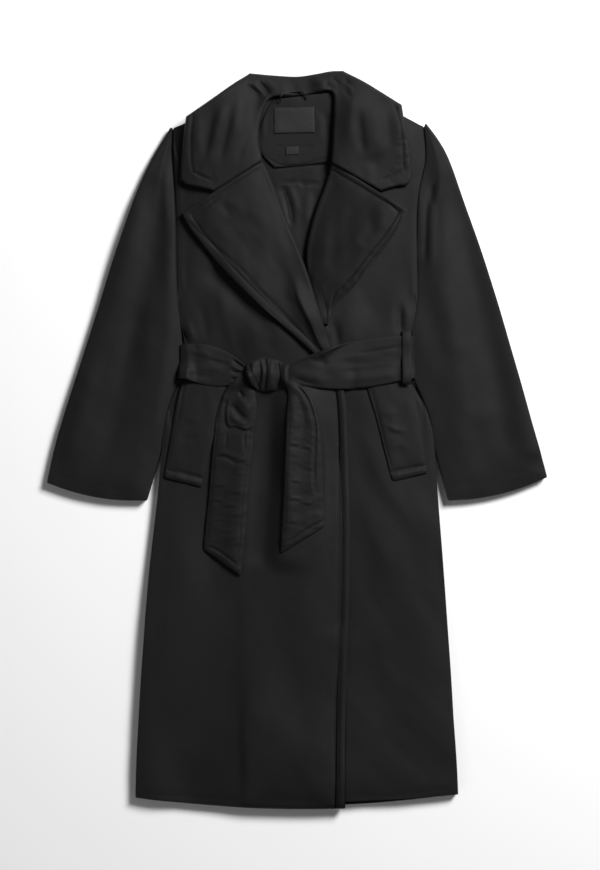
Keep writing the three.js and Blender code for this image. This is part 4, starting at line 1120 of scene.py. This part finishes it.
@dataclass
class Body:
    """The back, the two fronts and the pocket welts."""

    def back(self) -> ClothPiece:
        """The back, under everything."""
        return ClothPiece(
            "back", SHELL, (0.54, 1.19), 0.525, levels=2,
            laid=[Ripple(0.6, 70, 200, 85, 3)],
            meets=[Meet(RIGHT_SEAM), Meet([(218, 460), *LEFT_SEAM])],
        )

    def front_left(self) -> ClothPiece:
        """The wearer's left front, the lower one of the two."""
        return ClothPiece(
            "front_left", SHELL, (0.36, 1.18), 0.311, levels=3, over=("back",),
            meets=[Meet(LEFT_SEAM)], loft=4.5, laid=[
                Ripple(6.0, 120, 280, 70, 21),
                Ripple(1.0, 40, 120, 125, 23),
                Fold([(172, 228), (171, 200), (172, 168)], -4.2, 4.5, 8.0),
                Fold([(184, 225), (183, 195), (182, 165)], 1.2, 7.0),
                Fold([(158, 250), (156, 210), (152, 160)], 0.6, 11.0),
                Fold([(122, 250), (114, 205), (108, 155)], -1.0, 14.0),
                Fold([(84, 230), (84, 195), (90, 155)], 0.9, 13.0),
                Fold([(56, 204), (62, 180), (66, 148)], -3.0, 7.0, 8.0),
                Fold([(40, 210), (46, 190), (50, 162)], 4.0, 7.0),
                Fold([(64, 196), (68, 174), (70, 150)], -1.8, 6.0),
                Fold([(183, 101), (196, 86), (214, 64), (222, 48)], -4.0, 3.6, 6.0),
                Fold([(190, 104), (204, 88), (222, 66)], 2.6, 5.0),
                Fold([(176, 98), (190, 78), (204, 58)], 1.6, 6.0),
                Fold([(100, 70), (140, -60), (205, -150), (238, -215)], 3.0, 30.0, 16.0),
                Fold([(96, -40), (130, -150), (175, -240), (236, -330)], 3.2, 36.0, 26.0),
                Fold([(92, -330), (140, -420), (200, -500), (250, -590)], -4.0, 46.0, taper=0.2),
                Fold([(92, -220), (130, -330), (180, -440), (225, -560)], 1.6, 30.0),
                Fold([(238, -150), (243, -200), (248, -260)], 1.8, 7.0),
                Fold([(110, -120), (120, -260), (124, -420)], -1.2, 22.0),
                Fold([(150, 60), (150, 20), (162, -30)], 0.9, 9.0),
                Seam([(262, -571), (225, -578), (180, -584), (134, -588), (92, -585)], 0.5, 3.0,
                     0.9, 26, 14, 24),
            ],
        )

    def front_right(self) -> ClothPiece:
        """The wearer's right front, lapped over the other."""
        edge = [(64, 84), (68, 20), (69, -60), (69, -244), (67, -330), (66, -379), (62, -459),
                (64, -602)]
        return ClothPiece(
            "front_right", SHELL, (0.36, 1.19), 0.319, levels=3, over=("back", "front_left"),
            meets=[Meet(RIGHT_SEAM)], loft=4.5,
            laid=[
                Ripple(6.0, 120, 280, 105, 31),
                Ripple(1.0, 44, 120, 60, 33),
                Seam(edge, 1.2, 2.4, 0.8, 19, 9, 34),
                Fold([(78, 70), (78, -120), (78, -320), (74, -590)], 0.5, 6.0, taper=0.1),
                Fold([(-86, 60), (-86, -150), (-87, -360), (-88, -600)], 1.5, 26.0, 13.0,
                     taper=0.12),
                Fold([(-46, 92), (-46, -20), (-52, -120), (-60, -215)], -4.5, 14.0, 26.0,
                     taper=0.1),
                Fold([(-2, 104), (-10, -20), (-18, -120), (-26, -222)], 9.0, 34.0, 20.0, taper=0.1),
                Fold([(-160, 290), (-118, 256), (-76, 216), (-34, 176)], -5.0, 22.0, 16.0,
                     taper=0.2),
                Fold([(28, 60), (52, -20), (54, -160), (50, -260)], -1.6, 14.0, 12.0),
                Fold([(10, -170), (16, -300), (12, -430)], 1.2, 34.0),
                Fold([(-150, -120), (-168, -300), (-176, -470)], 1.5, 40.0),
                Fold([(-215, -80), (-226, -240), (-236, -420)], -1.1, 18.0),
                Fold([(-30, -430), (-90, -470), (-160, -480)], 2.2, 34.0),
                Fold([(40, -560), (-60, -575), (-160, -570), (-250, -545)], -3.0, 40.0, taper=0.2),
                Fold([(-192, 186), (-187, 173), (-178, 159)], -4.0, 3.2, 6.0),
                Fold([(-184, 196), (-176, 180), (-168, 160)], 2.2, 5.5),
                Fold([(-160, 230), (-152, 190), (-146, 158)], -1.4, 8.0),
                Fold([(-128, 260), (-118, 200), (-98, 140)], 1.6, 14.0, 10.0),
                Fold([(-104, 190), (-96, 160), (-84, 128)], -0.9, 8.0),
                Fold([(-70, 196), (-70, 160), (-66, 138)], 0.8, 11.0),
                Fold([(-40, 190), (-44, 160), (-48, 140)], -1.2, 11.0),
                Fold([(-8, 180), (-14, 160), (-20, 128)], 0.6, 10.0),
                Fold([(-190, 330), (-176, 300), (-170, 240)], 1.4, 20.0),
                Fold([(-150, 84), (-152, 20), (-156, -40)], 1.0, 20.0),
                Seam([(-262, -577), (-210, -586), (-150, -590), (-73, -592), (0, -596), (72, -595)],
                     0.5, 3.0, 0.9, 26, 14, 36),
            ],
        )

    def welts(self) -> list[ClothPiece]:
        """The slanted pocket welts."""
        right = [
            Seam([(-199, -50), (-178, -56), (-155, -62)], 1.0, 2.0, 0.6, 9, 8, 41),
            Fold([(-206, -58), (-183, -64), (-158, -70)], 0.5, 4.0, taper=0.2),
            Seam([(-186, 92), (-191, 62), (-196, 30)], 0.9, 1.8, 0.5, 10, 8, 42),
            Ripple(0.5, 16, 40, 80, 43),
            Fold([(-188, 40), (-172, 34), (-160, 36)], 0.9, 5.0),
            Fold([(-196, 6), (-176, 2), (-160, 8)], -0.8, 5.0),
        ]
        left = [
            Seam([(155, -52), (178, -47), (202, -42)], 1.0, 2.0, 0.6, 9, 8, 44),
            Fold([(158, -59), (180, -54), (204, -48)], 0.5, 4.0, taper=0.2),
            Seam([(122, 84), (134, 40), (146, -10), (157, -48)], 0.8, 1.8, 0.6, 10, 9, 45),
            Fold([(143, 27), (163, 18), (184, 16)], 1.5, 3.4, 5.0),
            Fold([(146, 16), (164, 10), (178, 12)], -1.0, 3.2),
            Fold([(134, 46), (152, 44), (168, 50)], 0.9, 5.0),
            Fold([(150, -12), (168, -8), (190, -14)], 0.9, 6.0),
            Ripple(0.5, 16, 44, 100, 46),
        ]
        return [
            ClothPiece("pocket_welt_right", SHELL, (0.08, 0.19), 0.0126, 3, over=("front_right",),
                       laid=right, loft=1.0, loft_reach=10),
            ClothPiece("pocket_welt_left", SHELL, (0.08, 0.18), 0.0117, 3, over=("front_left",),
                       laid=left, loft=1.0, loft_reach=10),
        ]


@dataclass
class Sleeves:
    """The two sleeves, each an under and a top panel that meet at the folded sides."""

    undulation: float = 3.6

    def meets(self, side: Side) -> list[Meet]:
        """The outer and inner folds, which stop short of the open cuff."""
        if side is Side.RIGHT:
            outer = [(-206, 518), (-224, 492), (-256, 432), (-285, 353), (-342, 175), (-380, 56),
                     (-402, -30)]
            inner = [(-200, 304), (-196, 216), (-203, 130), (-212, 60), (-222, -13), (-234, -45)]
        else:
            outer = [(203, 532), (241, 490), (269, 412), (304, 313), (335, 214), (363, 115),
                     (393, -10), (400, -30)]
            inner = [(199, 286), (203, 233), (206, 150), (214, 60), (228, -16), (238, -50)]
        return [Meet(outer), Meet(inner)]

    def right(self) -> list[Relief | Ripple]:
        """What lies on the wearer's right sleeve."""
        return [
            Ripple(self.undulation, 70, 220, 72, 51),
            Ripple(0.8, 36, 100, 130, 53),
            Fold([(-228, 440), (-242, 330), (-262, 210), (-286, 90), (-306, -40)], -5.0, 24.0, 20.0,
                 taper=0.15),
            Fold([(-208, 420), (-208, 310), (-208, 200), (-218, 90), (-238, -30)], 3.6, 15.0,
                 taper=0.15),
            Fold([(-250, 430), (-284, 300), (-322, 170), (-352, 60), (-382, -50)], 3.2, 20.0,
                 taper=0.1),
            Fold([(-214, 470), (-216, 400), (-214, 330)], 1.6, 7.0),
            Fold([(-246, 250), (-280, 150), (-300, 60)], -1.4, 16.0),
            Fold([(-258, 130), (-286, 40), (-296, -40)], 1.4, 18.0),
            Fold([(-222, 210), (-250, 190), (-286, 200)], -0.9, 12.0),
            Seam([(-405, -50), (-361, -66), (-310, -77), (-262, -86)], 0.5, 3.0, 0.8, 22, 12, 54),
        ]

    def left(self) -> list[Relief | Ripple]:
        """What lies on the wearer's left sleeve."""
        return [
            Ripple(self.undulation, 70, 220, 108, 56),
            Ripple(0.8, 36, 100, 50, 58),
            Fold([(233, 438), (216, 387), (213, 324), (211, 286)], -2.2, 3.2, 6.0, taper=0.2),
            Fold([(240, 430), (226, 387), (223, 324), (221, 270)], 1.4, 7.0, taper=0.2),
            Fold([(227, 424), (224, 405), (223, 384)], -2.0, 5.0),
            Fold([(236, 420), (240, 300), (254, 180), (270, 80), (284, -40)], 2.6, 20.0, 26.0,
                 taper=0.12),
            Fold([(262, 420), (282, 310), (306, 200), (330, 90), (346, -40)], -4.6, 22.0,
                 taper=0.12),
            Fold([(262, 470), (292, 380), (326, 270), (356, 150), (386, 20), (392, -40)], 5.0, 21.0,
                 taper=0.05),
            Fold([(234, 180), (262, 150), (300, 160)], 1.0, 14.0),
            Fold([(256, 60), (300, 40), (350, 60)], 0.8, 14.0),
            Seam([(404, -40), (346, -57), (300, -70), (256, -78)], 0.5, 3.0, 0.8, 22, 12, 59),
        ]

    def pieces(self) -> list[ClothPiece]:
        """The four panels, the under ones first."""
        made = []
        for name, side, laid in (("right", Side.RIGHT, self.right()),
                                 ("left", Side.LEFT, self.left())):
            under, top = f"sleeve_{name}_under", f"sleeve_{name}_top"
            area, grain = (0.075, -18.0) if side is Side.RIGHT else (0.076, 18.0)
            beside = [(-197, 235), (-200, 175), (-203, 120), (-207, 70)]
            if side is Side.LEFT:
                beside = [(-x, y) for x, y in beside]
            shifts = [Shift(beside, (-9.0 * side.value, 0.0, 0.0))]
            made.append(ClothPiece(under, SHELL, (0.22, 0.64), area, 2, meets=self.meets(side),
                                   grain=grain,
                                   laid=[Ripple(0.4, 60, 150, 90, 60)], grow_by=1.4, shifts=shifts))
            made.append(ClothPiece(top, SHELL, (0.22, 0.64), area, 3, over=(under,), laid=laid,
                                   meets=self.meets(side), grain=grain, grow_by=1.4, loft=4.5,
                                   shifts=shifts))
        return made


@dataclass
class Neck:
    """The collar, the lapels, and what shows inside the neck."""

    def lapels(self) -> list[ClothPiece]:
        """The two lapels; the right one laps over the left."""
        left = [
            Seam([(140, 394), (154, 384), (171, 368)], 1.0, 2.1, 0.7, 9, 9, 61),
            Seam([(171, 368), (156, 340), (134, 312), (112, 284), (96, 262)], 1.5, 2.1, 1.7, 7.5,
                 12, 62),
            Seam([(96, 262), (76, 244), (62, 228)], 0.8, 2.2, 0.8, 9, 9, 63),
            Fold([(70, 262), (56, 240), (46, 218), (38, 200)], -1.4, 6.0, 10.0),
            Fold([(58, 452), (46, 400), (32, 350), (24, 280)], -2.6, 20.0, taper=0.15),
            Fold([(66, 400), (60, 350), (60, 300), (64, 260)], -1.8, 11.0),
            Fold([(96, 400), (102, 350), (92, 300)], 1.6, 14.0),
            Fold([(128, 392), (138, 362), (132, 336)], 1.4, 10.0),
            Fold([(112, 372), (124, 350), (122, 330)], -1.0, 7.0),
            Fold([(88, 330), (106, 316), (118, 318)], 0.8, 6.0),
            Fold([(222, 560), (204, 440), (190, 370), (166, 300), (124, 230), (70, 150)], 24.0,
                 76.0, taper=0.3),
            Ripple(0.9, 24, 50, 40, 64),
        ]
        right = [
            Seam([(-129, 398), (-140, 390), (-152, 380), (-172, 366)], 1.2, 2.4, 0.8, 10, 11, 65),
            Seam([(-176, 357), (-150, 332), (-118, 304), (-87, 276), (-62, 248), (-38, 224),
                  (-10, 195), (32, 150)],
                 0.8, 2.6, 0.9, 13, 13, 66),
            Fold([(-120, 344), (-96, 358), (-68, 374)], -1.1, 5.0, 8.0),
            Fold([(-118, 356), (-92, 371), (-64, 384)], 1.0, 7.0),
            Fold([(-88, 292), (-76, 316), (-50, 336)], -1.1, 5.0, 8.0),
            Fold([(-14, 240), (10, 254), (20, 258)], -0.9, 4.0),
            Fold([(28, 222), (34, 212), (38, 200)], -1.6, 2.6),
            Fold([(-120, 400), (-104, 388), (-84, 384)], 1.3, 8.0),
            Fold([(-128, 386), (-116, 378), (-110, 364)], -1.1, 5.0),
            Fold([(-60, 400), (-44, 360), (-30, 310)], -1.0, 13.0),
            Fold([(-16, 268), (-4, 238), (9, 204), (25, 172)], 5.5, 12.0),
            Ripple(1.0, 28, 60, 130, 67),
        ]
        return [
            ClothPiece("lapel_left", SHELL, (0.2, 0.3), 0.026, 3, "folded", ("back", "front_left"),
                       left, grain=28, loft=1.4, loft_reach=9, calm=12),
            ClothPiece("lapel_right", SHELL, (0.25, 0.36), 0.037, 3, "folded",
                       ("back", "front_left", "front_right", "lapel_left"), right, grain=-38,
                       loft=1.4, loft_reach=9, soften=16, most=14, calm=16,
                       shifts=[Shift([(-170, 345), (-125, 288), (-84, 243), (-32, 196), (10, 160)],
                                     (0, 0, 7), 60)]),
        ]

    def collar(self) -> CollarCloth:
        """The one-piece padded collar, rolled over at the back of the neck."""
        edges = [
            [(-57, 459), (-85, 441), (-112, 424), (-137, 409)],
            [(-137, 409), (-152, 413), (-170, 417), (-184, 421), (-192, 429)],
            [(-192, 429), (-191, 450), (-187, 487), (-182, 531)],
            [(-182, 531), (-145, 556.5), (-106, 585.5), (-78, 606)],
            [(-78, 606), (-40, 603), (0, 601), (30, 605), (55, 609.5), (76, 610)],
            [(76, 610), (107, 592), (141, 571), (172, 551)],
            [(172, 551), (178, 510), (185, 480), (188, 447), (188, 430)],
            [(188, 430), (182, 421), (162, 417), (137, 409)],
            [(137, 409), (100, 430), (56, 455)],
        ]
        neck = [(56, 455), (58, 500), (60, 545), (58, 572), (40, 574), (16, 569), (-20, 566),
                (-42, 564), (-54, 548), (-61, 520), (-62, 490), (-57, 459)]
        return CollarCloth(
            "collar", SHELL, (0.5, 0.3), 0.058, 3, "folded",
            ("back", "front_left", "front_right", "lapel_left", "lapel_right"), grain=5,
            grow_by=0.3, soften=20, edges=edges, neck_edge=neck, laid=[
                Seam([(-170, 536), (-174, 500), (-174, 460), (-171, 441)], 1.5, 2.2, 1.2, 10, 11,
                     71),
                Seam([(-171, 441), (-156, 433), (-139, 427)], 1.5, 2.2, 1.2, 9, 11, 72),
                Seam([(160, 552), (170, 520), (174, 480), (175, 446)], 1.5, 2.2, 1.2, 10, 11, 73),
                Seam([(175, 446), (156, 434), (138, 428)], 1.5, 2.2, 1.2, 9, 11, 74),
                Fold([(-106, 562), (-112, 520), (-120, 486), (-130, 446)], -3.0, 6.5, 10.0),
                Fold([(-134, 550), (-142, 512), (-148, 480), (-156, 450)], -2.4, 5.5, 9.0),
                Fold([(-118, 556), (-128, 514), (-136, 474)], 1.9, 8.0),
                Fold([(-90, 574), (-94, 530), (-98, 486)], 2.2, 11.0),
                Fold([(-78, 520), (-88, 486), (-100, 452)], -1.6, 7.0),
                Fold([(-158, 545), (-162, 505), (-162, 462)], 1.4, 7.0),
                Fold([(100, 548), (105, 508), (110, 462)], -2.6, 6.5, 10.0),
                Fold([(90, 576), (87, 524), (84, 476)], 2.2, 10.0),
                Fold([(124, 560), (128, 510), (134, 460)], 2.2, 13.0),
                Fold([(148, 550), (152, 505), (156, 462)], -1.8, 9.0),
                Fold([(78, 600), (82, 590), (90, 582)], -1.8, 2.8),
                Fold([(80, 590), (86, 580), (94, 570)], 1.2, 3.0),
                Fold([(76, 578), (84, 568), (92, 560)], -1.3, 3.0),
                Fold([(-66, 596), (-54, 582), (-40, 564)], -3.2, 2.6, 5.0),
                Fold([(-74, 592), (-64, 578), (-50, 562)], 2.2, 4.0),
                Fold([(-86, 588), (-72, 578), (-56, 568)], -3.0, 2.6, 5.0),
                Fold([(-52, 598), (-42, 584), (-30, 572)], 1.6, 5.0),
                Fold([(-20, 598), (-8, 584), (6, 578)], -0.9, 6.0),
                Fold([(20, 600), (34, 590), (52, 592)], 1.0, 7.0),
                Fold([(44, 592), (54, 582), (64, 578)], -1.8, 3.2),
                Fold([(56, 602), (64, 592), (72, 584)], -2.0, 3.0),
                Ripple(0.9, 26, 60, 100, 75),
            ],
        )

    def inside(self) -> list[ClothPiece]:
        """The lining, the neck facing, the hanger loop and the bare labels."""
        lining = [
            Seam([(-26, 425), (-10, 427), (6, 429)], 1.3, 1.6, 0.7, 8, 8, 81),
            Seam([(14, 424), (30, 424), (46, 429)], 1.3, 1.6, 0.7, 8, 8, 82),
            Fold([(6, 432), (9, 425), (12, 420)], -1.6, 1.8),
            Fold([(-24, 424), (-16, 400), (-11, 380), (-8, 352)], -1.9, 3.4, 7.0, taper=0.2),
            Fold([(-16, 424), (-6, 400), (0, 372)], 1.2, 6.0),
            Fold([(18, 420), (16, 390), (14, 350)], 1.0, 7.0),
            Fold([(34, 420), (30, 390), (26, 360)], -0.9, 6.0),
            Ripple(0.4, 14, 50, 80, 83),
        ]
        facing = [
            Seam([(-40, 486), (-18, 484), (4, 485), (26, 486)], 0.7, 1.3, 0.4, 8, 6, 84),
            Seam([(-50, 468), (-32, 456), (-8, 453), (20, 457), (46, 466)], 0.8, 1.6, 0.7, 9, 8, 85,
                 sewn=False),
            Fold([(-50, 545), (-55, 520), (-54, 490)], 1.1, 4.0),
            Fold([(44, 550), (50, 520), (48, 490)], -1.2, 4.0, 6.0),
            Fold([(34, 545), (38, 520), (36, 490)], 0.8, 5.0),
            Ripple(0.35, 16, 30, 60, 86),
        ]
        label = [
            Fold([(-37, 540), (-6, 542), (26, 540)], 0.25, 2.5, taper=0.1),
            Fold([(-30, 512), (-10, 520), (4, 514)], -0.35, 6.0),
            Ripple(0.25, 14, 26, 20, 87),
        ]
        return [
            ClothPiece("lining", LINING, (0.12, 0.18), 0.013, 3, over=("back",), laid=lining),
            ClothPiece("back_facing", SHELL, (0.13, 0.13), 0.0129, 3, over=("back",), laid=facing),
            ClothPiece("neck_label", LABEL, (0.065, 0.041), 0.0026, 2, over=("back_facing",),
                       laid=label, grow_by=0.1),
            ClothPiece("size_label", LABEL, (0.02, 0.013), 0.00026, 2, over=("back_facing",),
                       grow_by=0.1),
            ClothPiece("hanger_loop", LINING, (0.05, 0.01), 0.0003, 2,
                       over=("back_facing", "collar"), grow_by=0.0),
        ]


@dataclass
class Belt:
    """The cloth belt: the part behind, the two stretches, the loop, the tails and the knot."""

    def stretches(self) -> list[ClothPiece]:
        """The belt round the waist and its loop."""
        right = [
            Fold([(-108, 134), (-96, 125), (-83, 116)], -3.2, 2.0, 3.6),
            Fold([(-112, 123), (-98, 118), (-84, 114)], 1.8, 3.0),
            Fold([(-110, 113), (-96, 111), (-84, 110)], -2.6, 2.0, 3.2),
            Fold([(-110, 104), (-96, 105), (-84, 106)], 1.5, 2.8),
            Fold([(-112, 98), (-98, 101), (-84, 104)], -2.0, 2.0),
            Fold([(-150, 134), (-128, 128), (-106, 124)], -1.1, 3.0, 5.0),
            Fold([(-176, 122), (-146, 118), (-118, 114)], 1.1, 6.0),
            Fold([(-190, 112), (-160, 106), (-130, 104)], -0.9, 4.0),
            Fold([(-184, 146), (-160, 144), (-136, 138)], 0.9, 5.0),
            Ripple(0.35, 10, 30, -15, 91),
        ]
        left = [
            Lap([(-10, 124), (2, 131), (18, 139), (34, 144)], -3.0, 9.0, 2.2),
            Fold([(34, 142), (42, 132), (48, 120)], -2.6, 3.0, 6.0),
            Fold([(18, 134), (30, 130), (42, 126)], -1.6, 4.0),
            Fold([(-8, 112), (10, 106), (30, 102), (50, 100)], 1.4, 7.0),
            Fold([(-8, 104), (12, 96), (34, 92)], -1.4, 3.0),
            Fold([(96, 142), (134, 148), (174, 155)], -1.2, 1.8, 3.6, taper=0.2),
            Fold([(60, 134), (96, 138), (130, 146)], 0.9, 5.0),
            Fold([(66, 98), (110, 102), (174, 110)], 1.3, 6.0, taper=0.25),
            Fold([(60, 112), (110, 114), (172, 121)], -0.8, 4.0),
            Fold([(80, 126), (112, 127), (150, 134)], -0.6, 3.0),
            Ripple(0.35, 12, 36, 8, 92),
        ]
        return [
            ClothPiece("belt_back", SHELL, (0.34, 0.062), 0.0203, 2,
                       laid=[Ripple(0.3, 12, 40, 0, 93)]),
            ClothPiece("belt_right", SHELL, (0.18, 0.06), 0.0085, 3, "folded", ("front_right",),
                       right, loft=1.6, loft_reach=12, soften=12, calm=40, under=12),
            ClothPiece("belt_left", SHELL, (0.3, 0.075), 0.0172, 3, "folded",
                       ("front_left", "front_right", "lapel_right", "pocket_welt_left"), left,
                       loft=1.6, loft_reach=12, soften=14, calm=40, under=12),
            ClothPiece("belt_loop", SHELL, (0.015, 0.1), 0.0013, 3, over=("belt_left",), soften=10,
                       under=12, laid=[Fold([(181, 170), (181, 140), (180, 104)], -0.3, 1.6),
                             Fold([(190, 170), (190, 140), (189, 104)], -0.3, 1.6)]),
        ]

    @staticmethod
    def puckers(rows: list[tuple[float, float, float, float]], tilt: float) -> list[Fold]:
        """Small cross ridges, each beside a small trough.

        Args:
            rows: the left end, the right end, the place down the tail and the height of each.
            tilt: how far the right end lies above the left one.

        Returns:
            The folds.
        """
        made = []
        for left, right, y, height in rows:
            middle = 0.5 * (left + right)
            made.append(Fold([(left, y - 0.5 * tilt), (middle, y + 1.0), (right, y + 0.5 * tilt)],
                             height, 3.0, 2.2))
            low = [(left, y - 4.2 - 0.5 * tilt), (middle, y - 3.2), (right, y - 4.2 + 0.5 * tilt)]
            made.append(Fold(low, -0.9 * height, 2.4, 3.4))
        return made

    def tails(self) -> list[ClothPiece]:
        """The two hanging tails."""
        long_rows = [
            (-138, -116, -75, 0.9), (-112, -92, -86, 0.8), (-140, -122, -99, 0.7),
            (-124, -98, -108, 1.0),
            (-112, -92, -124, 0.7), (-142, -118, -131, 0.6), (-128, -104, -150, 0.5),
            (-104, -86, -56, 0.5),
        ]
        short_rows = [
            (-14, 6, -7, 0.8), (6, 24, -12, 0.9), (-12, 8, -67, 0.7), (-16, 10, -96, 0.9),
            (8, 26, -104, 0.6), (-20, 2, -134, 0.6), (10, 28, -46, 0.4),
        ]
        long_laid = [
            Seam([(-146, -176), (-134, -180), (-116, -192), (-98, -206)], 1.9, 2.2, 0.8, 9, 8, 101),
            Seam([(-129, 30), (-136, -30), (-142, -100), (-148, -170)], 0.45, 1.8, 0.8, 8, 8, 102),
            Seam([(-77, 10), (-84, -50), (-90, -110), (-96, -200)], 0.45, 1.8, 0.8, 8, 8, 103),
            Lap([(-72, 22), (-84, 17), (-100, 22), (-114, 24), (-117, 50), (-112, 68)], -3.4, 9.0,
                2.2, 0.1),
            Fold([(-110, 64), (-100, 50), (-90, 40), (-76, 32)], -3.0, 3.4, 6.0),
            Fold([(-98, 74), (-88, 58), (-74, 46)], 2.6, 7.0),
            Fold([(-112, 46), (-102, 34), (-90, 27), (-78, 24)], 1.8, 4.5),
            Fold([(-94, 84), (-92, 76), (-86, 70)], -2.8, 3.0),
            Fold([(-118, 84), (-122, 60), (-126, 30)], 1.4, 4.0),
            Fold([(-136, -28), (-120, -27), (-108, -32), (-100, -37), (-82, -36)], -1.8, 2.0, 4.0,
                 taper=0.15),
            Fold([(-136, -22), (-120, -21), (-106, -26), (-84, -30)], 1.3, 3.4),
            Fold([(-86, 16), (-86, 0), (-85, -20)], -1.4, 1.8),
            Fold([(-116, 16), (-116, 0), (-117, -18)], -1.0, 1.8),
            *self.puckers(long_rows, 3.0),
            Ripple(0.5, 9, 26, 10, 104),
        ]
        short_laid = [
            Seam([(-12, -166), (4, -154), (24, -142), (43, -132)], 1.7, 2.2, 0.8, 9, 8, 105),
            Seam([(-11, 60), (-14, 0), (-17, -80), (-20, -160)], 0.45, 1.8, 0.8, 8, 8, 106),
            Lap([(30, -96), (29, -40), (30, 17), (25, 45), (14, 72), (-6, 96)], 1.8, 10.0, 1.8,
                0.12),
            Fold([(-6, 96), (14, 72), (25, 45), (30, 17), (28, -40), (29, -92)], -3.0, 1.7, 2.6,
                 taper=0.1),
            Fold([(-6, 80), (4, 64), (12, 38), (14, 8)], -1.0, 4.0),
            Fold([(-12, 80), (-6, 50), (-4, 10)], 1.4, 7.0),
            Fold([(38, 10), (40, -40), (40, -120)], 0.8, 3.4),
            Fold([(6, 60), (8, 20), (6, -20)], -0.8, 5.0),
            *self.puckers(short_rows, -2.0),
            Ripple(0.45, 9, 26, -8, 107),
        ]
        return [
            ClothPiece("belt_tail_long", SHELL, (0.09, 0.34), 0.0198, 3, "folded",
                       ("front_right", "pocket_welt_right", "belt_right"), long_laid, grain=-12,
                       loft=1.6, loft_reach=9, calm=10, most=16),
            ClothPiece("belt_tail_short", SHELL, (0.08, 0.3), 0.0156, 3, "folded",
                       ("front_right", "belt_left"), short_laid, grain=3, loft=1.6, loft_reach=9,
                       calm=10, most=16,
                       shifts=[Shift([(-10, 80), (-19, 20), (-24, -80), (-28, -190)], (0, 0, 8),
                                     34)]),
        ]

    def knot(self) -> ClothPiece:
        """The tied knot, with the wraps of the belt over it."""
        return ClothPiece(
            "belt_knot", SHELL, (0.08, 0.06), 0.0042, 3, "folded", grain=70,
            laid=[
                Fold([(-88, 112), (-66, 112), (-40, 108), (-8, 106)], 6.0, 15.0, 17.0, taper=0.12),
                Fold([(-78, 122), (-68, 127), (-54, 128)], 2.4, 7.0),
                Fold([(-80, 128), (-74, 110), (-66, 94), (-60, 78)], -2.4, 2.2, 4.0, taper=0.15),
                Fold([(-62, 134), (-60, 112), (-64, 84)], -1.6, 1.8, 3.4, taper=0.15),
                Fold([(-52, 138), (-50, 110), (-53, 76)], -2.2, 1.9, 3.6, taper=0.15),
                Fold([(-57, 134), (-56, 108), (-58, 82)], 1.1, 2.4),
                Fold([(-42, 134), (-41, 108), (-43, 78)], 1.3, 4.6),
                Fold([(-32, 130), (-29, 106), (-32, 78)], -2.2, 1.9, 3.4, taper=0.15),
                Fold([(-22, 124), (-20, 104), (-22, 82)], 0.9, 3.6),
                Ripple(0.5, 7, 20, 85, 108),
            ],
        )


@dataclass
class Coat:
    """The whole coat, from the back up to the knot."""

    shaders: Shaders
    ground: Ground = field(default_factory=Ground)

    def build(self) -> None:
        """Makes every piece in the order in which they lie on each other, and then the stitches."""
        body, neck, belt = Body(), Neck(), Belt()
        lapels = neck.lapels()
        pieces = [body.back(), *neck.inside()[:2], body.front_left(), body.front_right(),
                  *Sleeves().pieces()]
        pieces += [*lapels, neck.collar(), *neck.inside()[2:], *body.welts()]
        pieces += [*belt.stretches(), *belt.tails(), belt.knot()]
        for piece in pieces:
            piece.build(self.shaders, self.ground)
        Stitches().build(pieces, self.ground, self.shaders)


def main() -> None:
    """Builds the coat and its studio."""
    logging.basicConfig(level=logging.INFO, format="%(message)s")
    Studio().build()
    Coat(Shaders()).build()


if __name__ == "__main__":
    main()
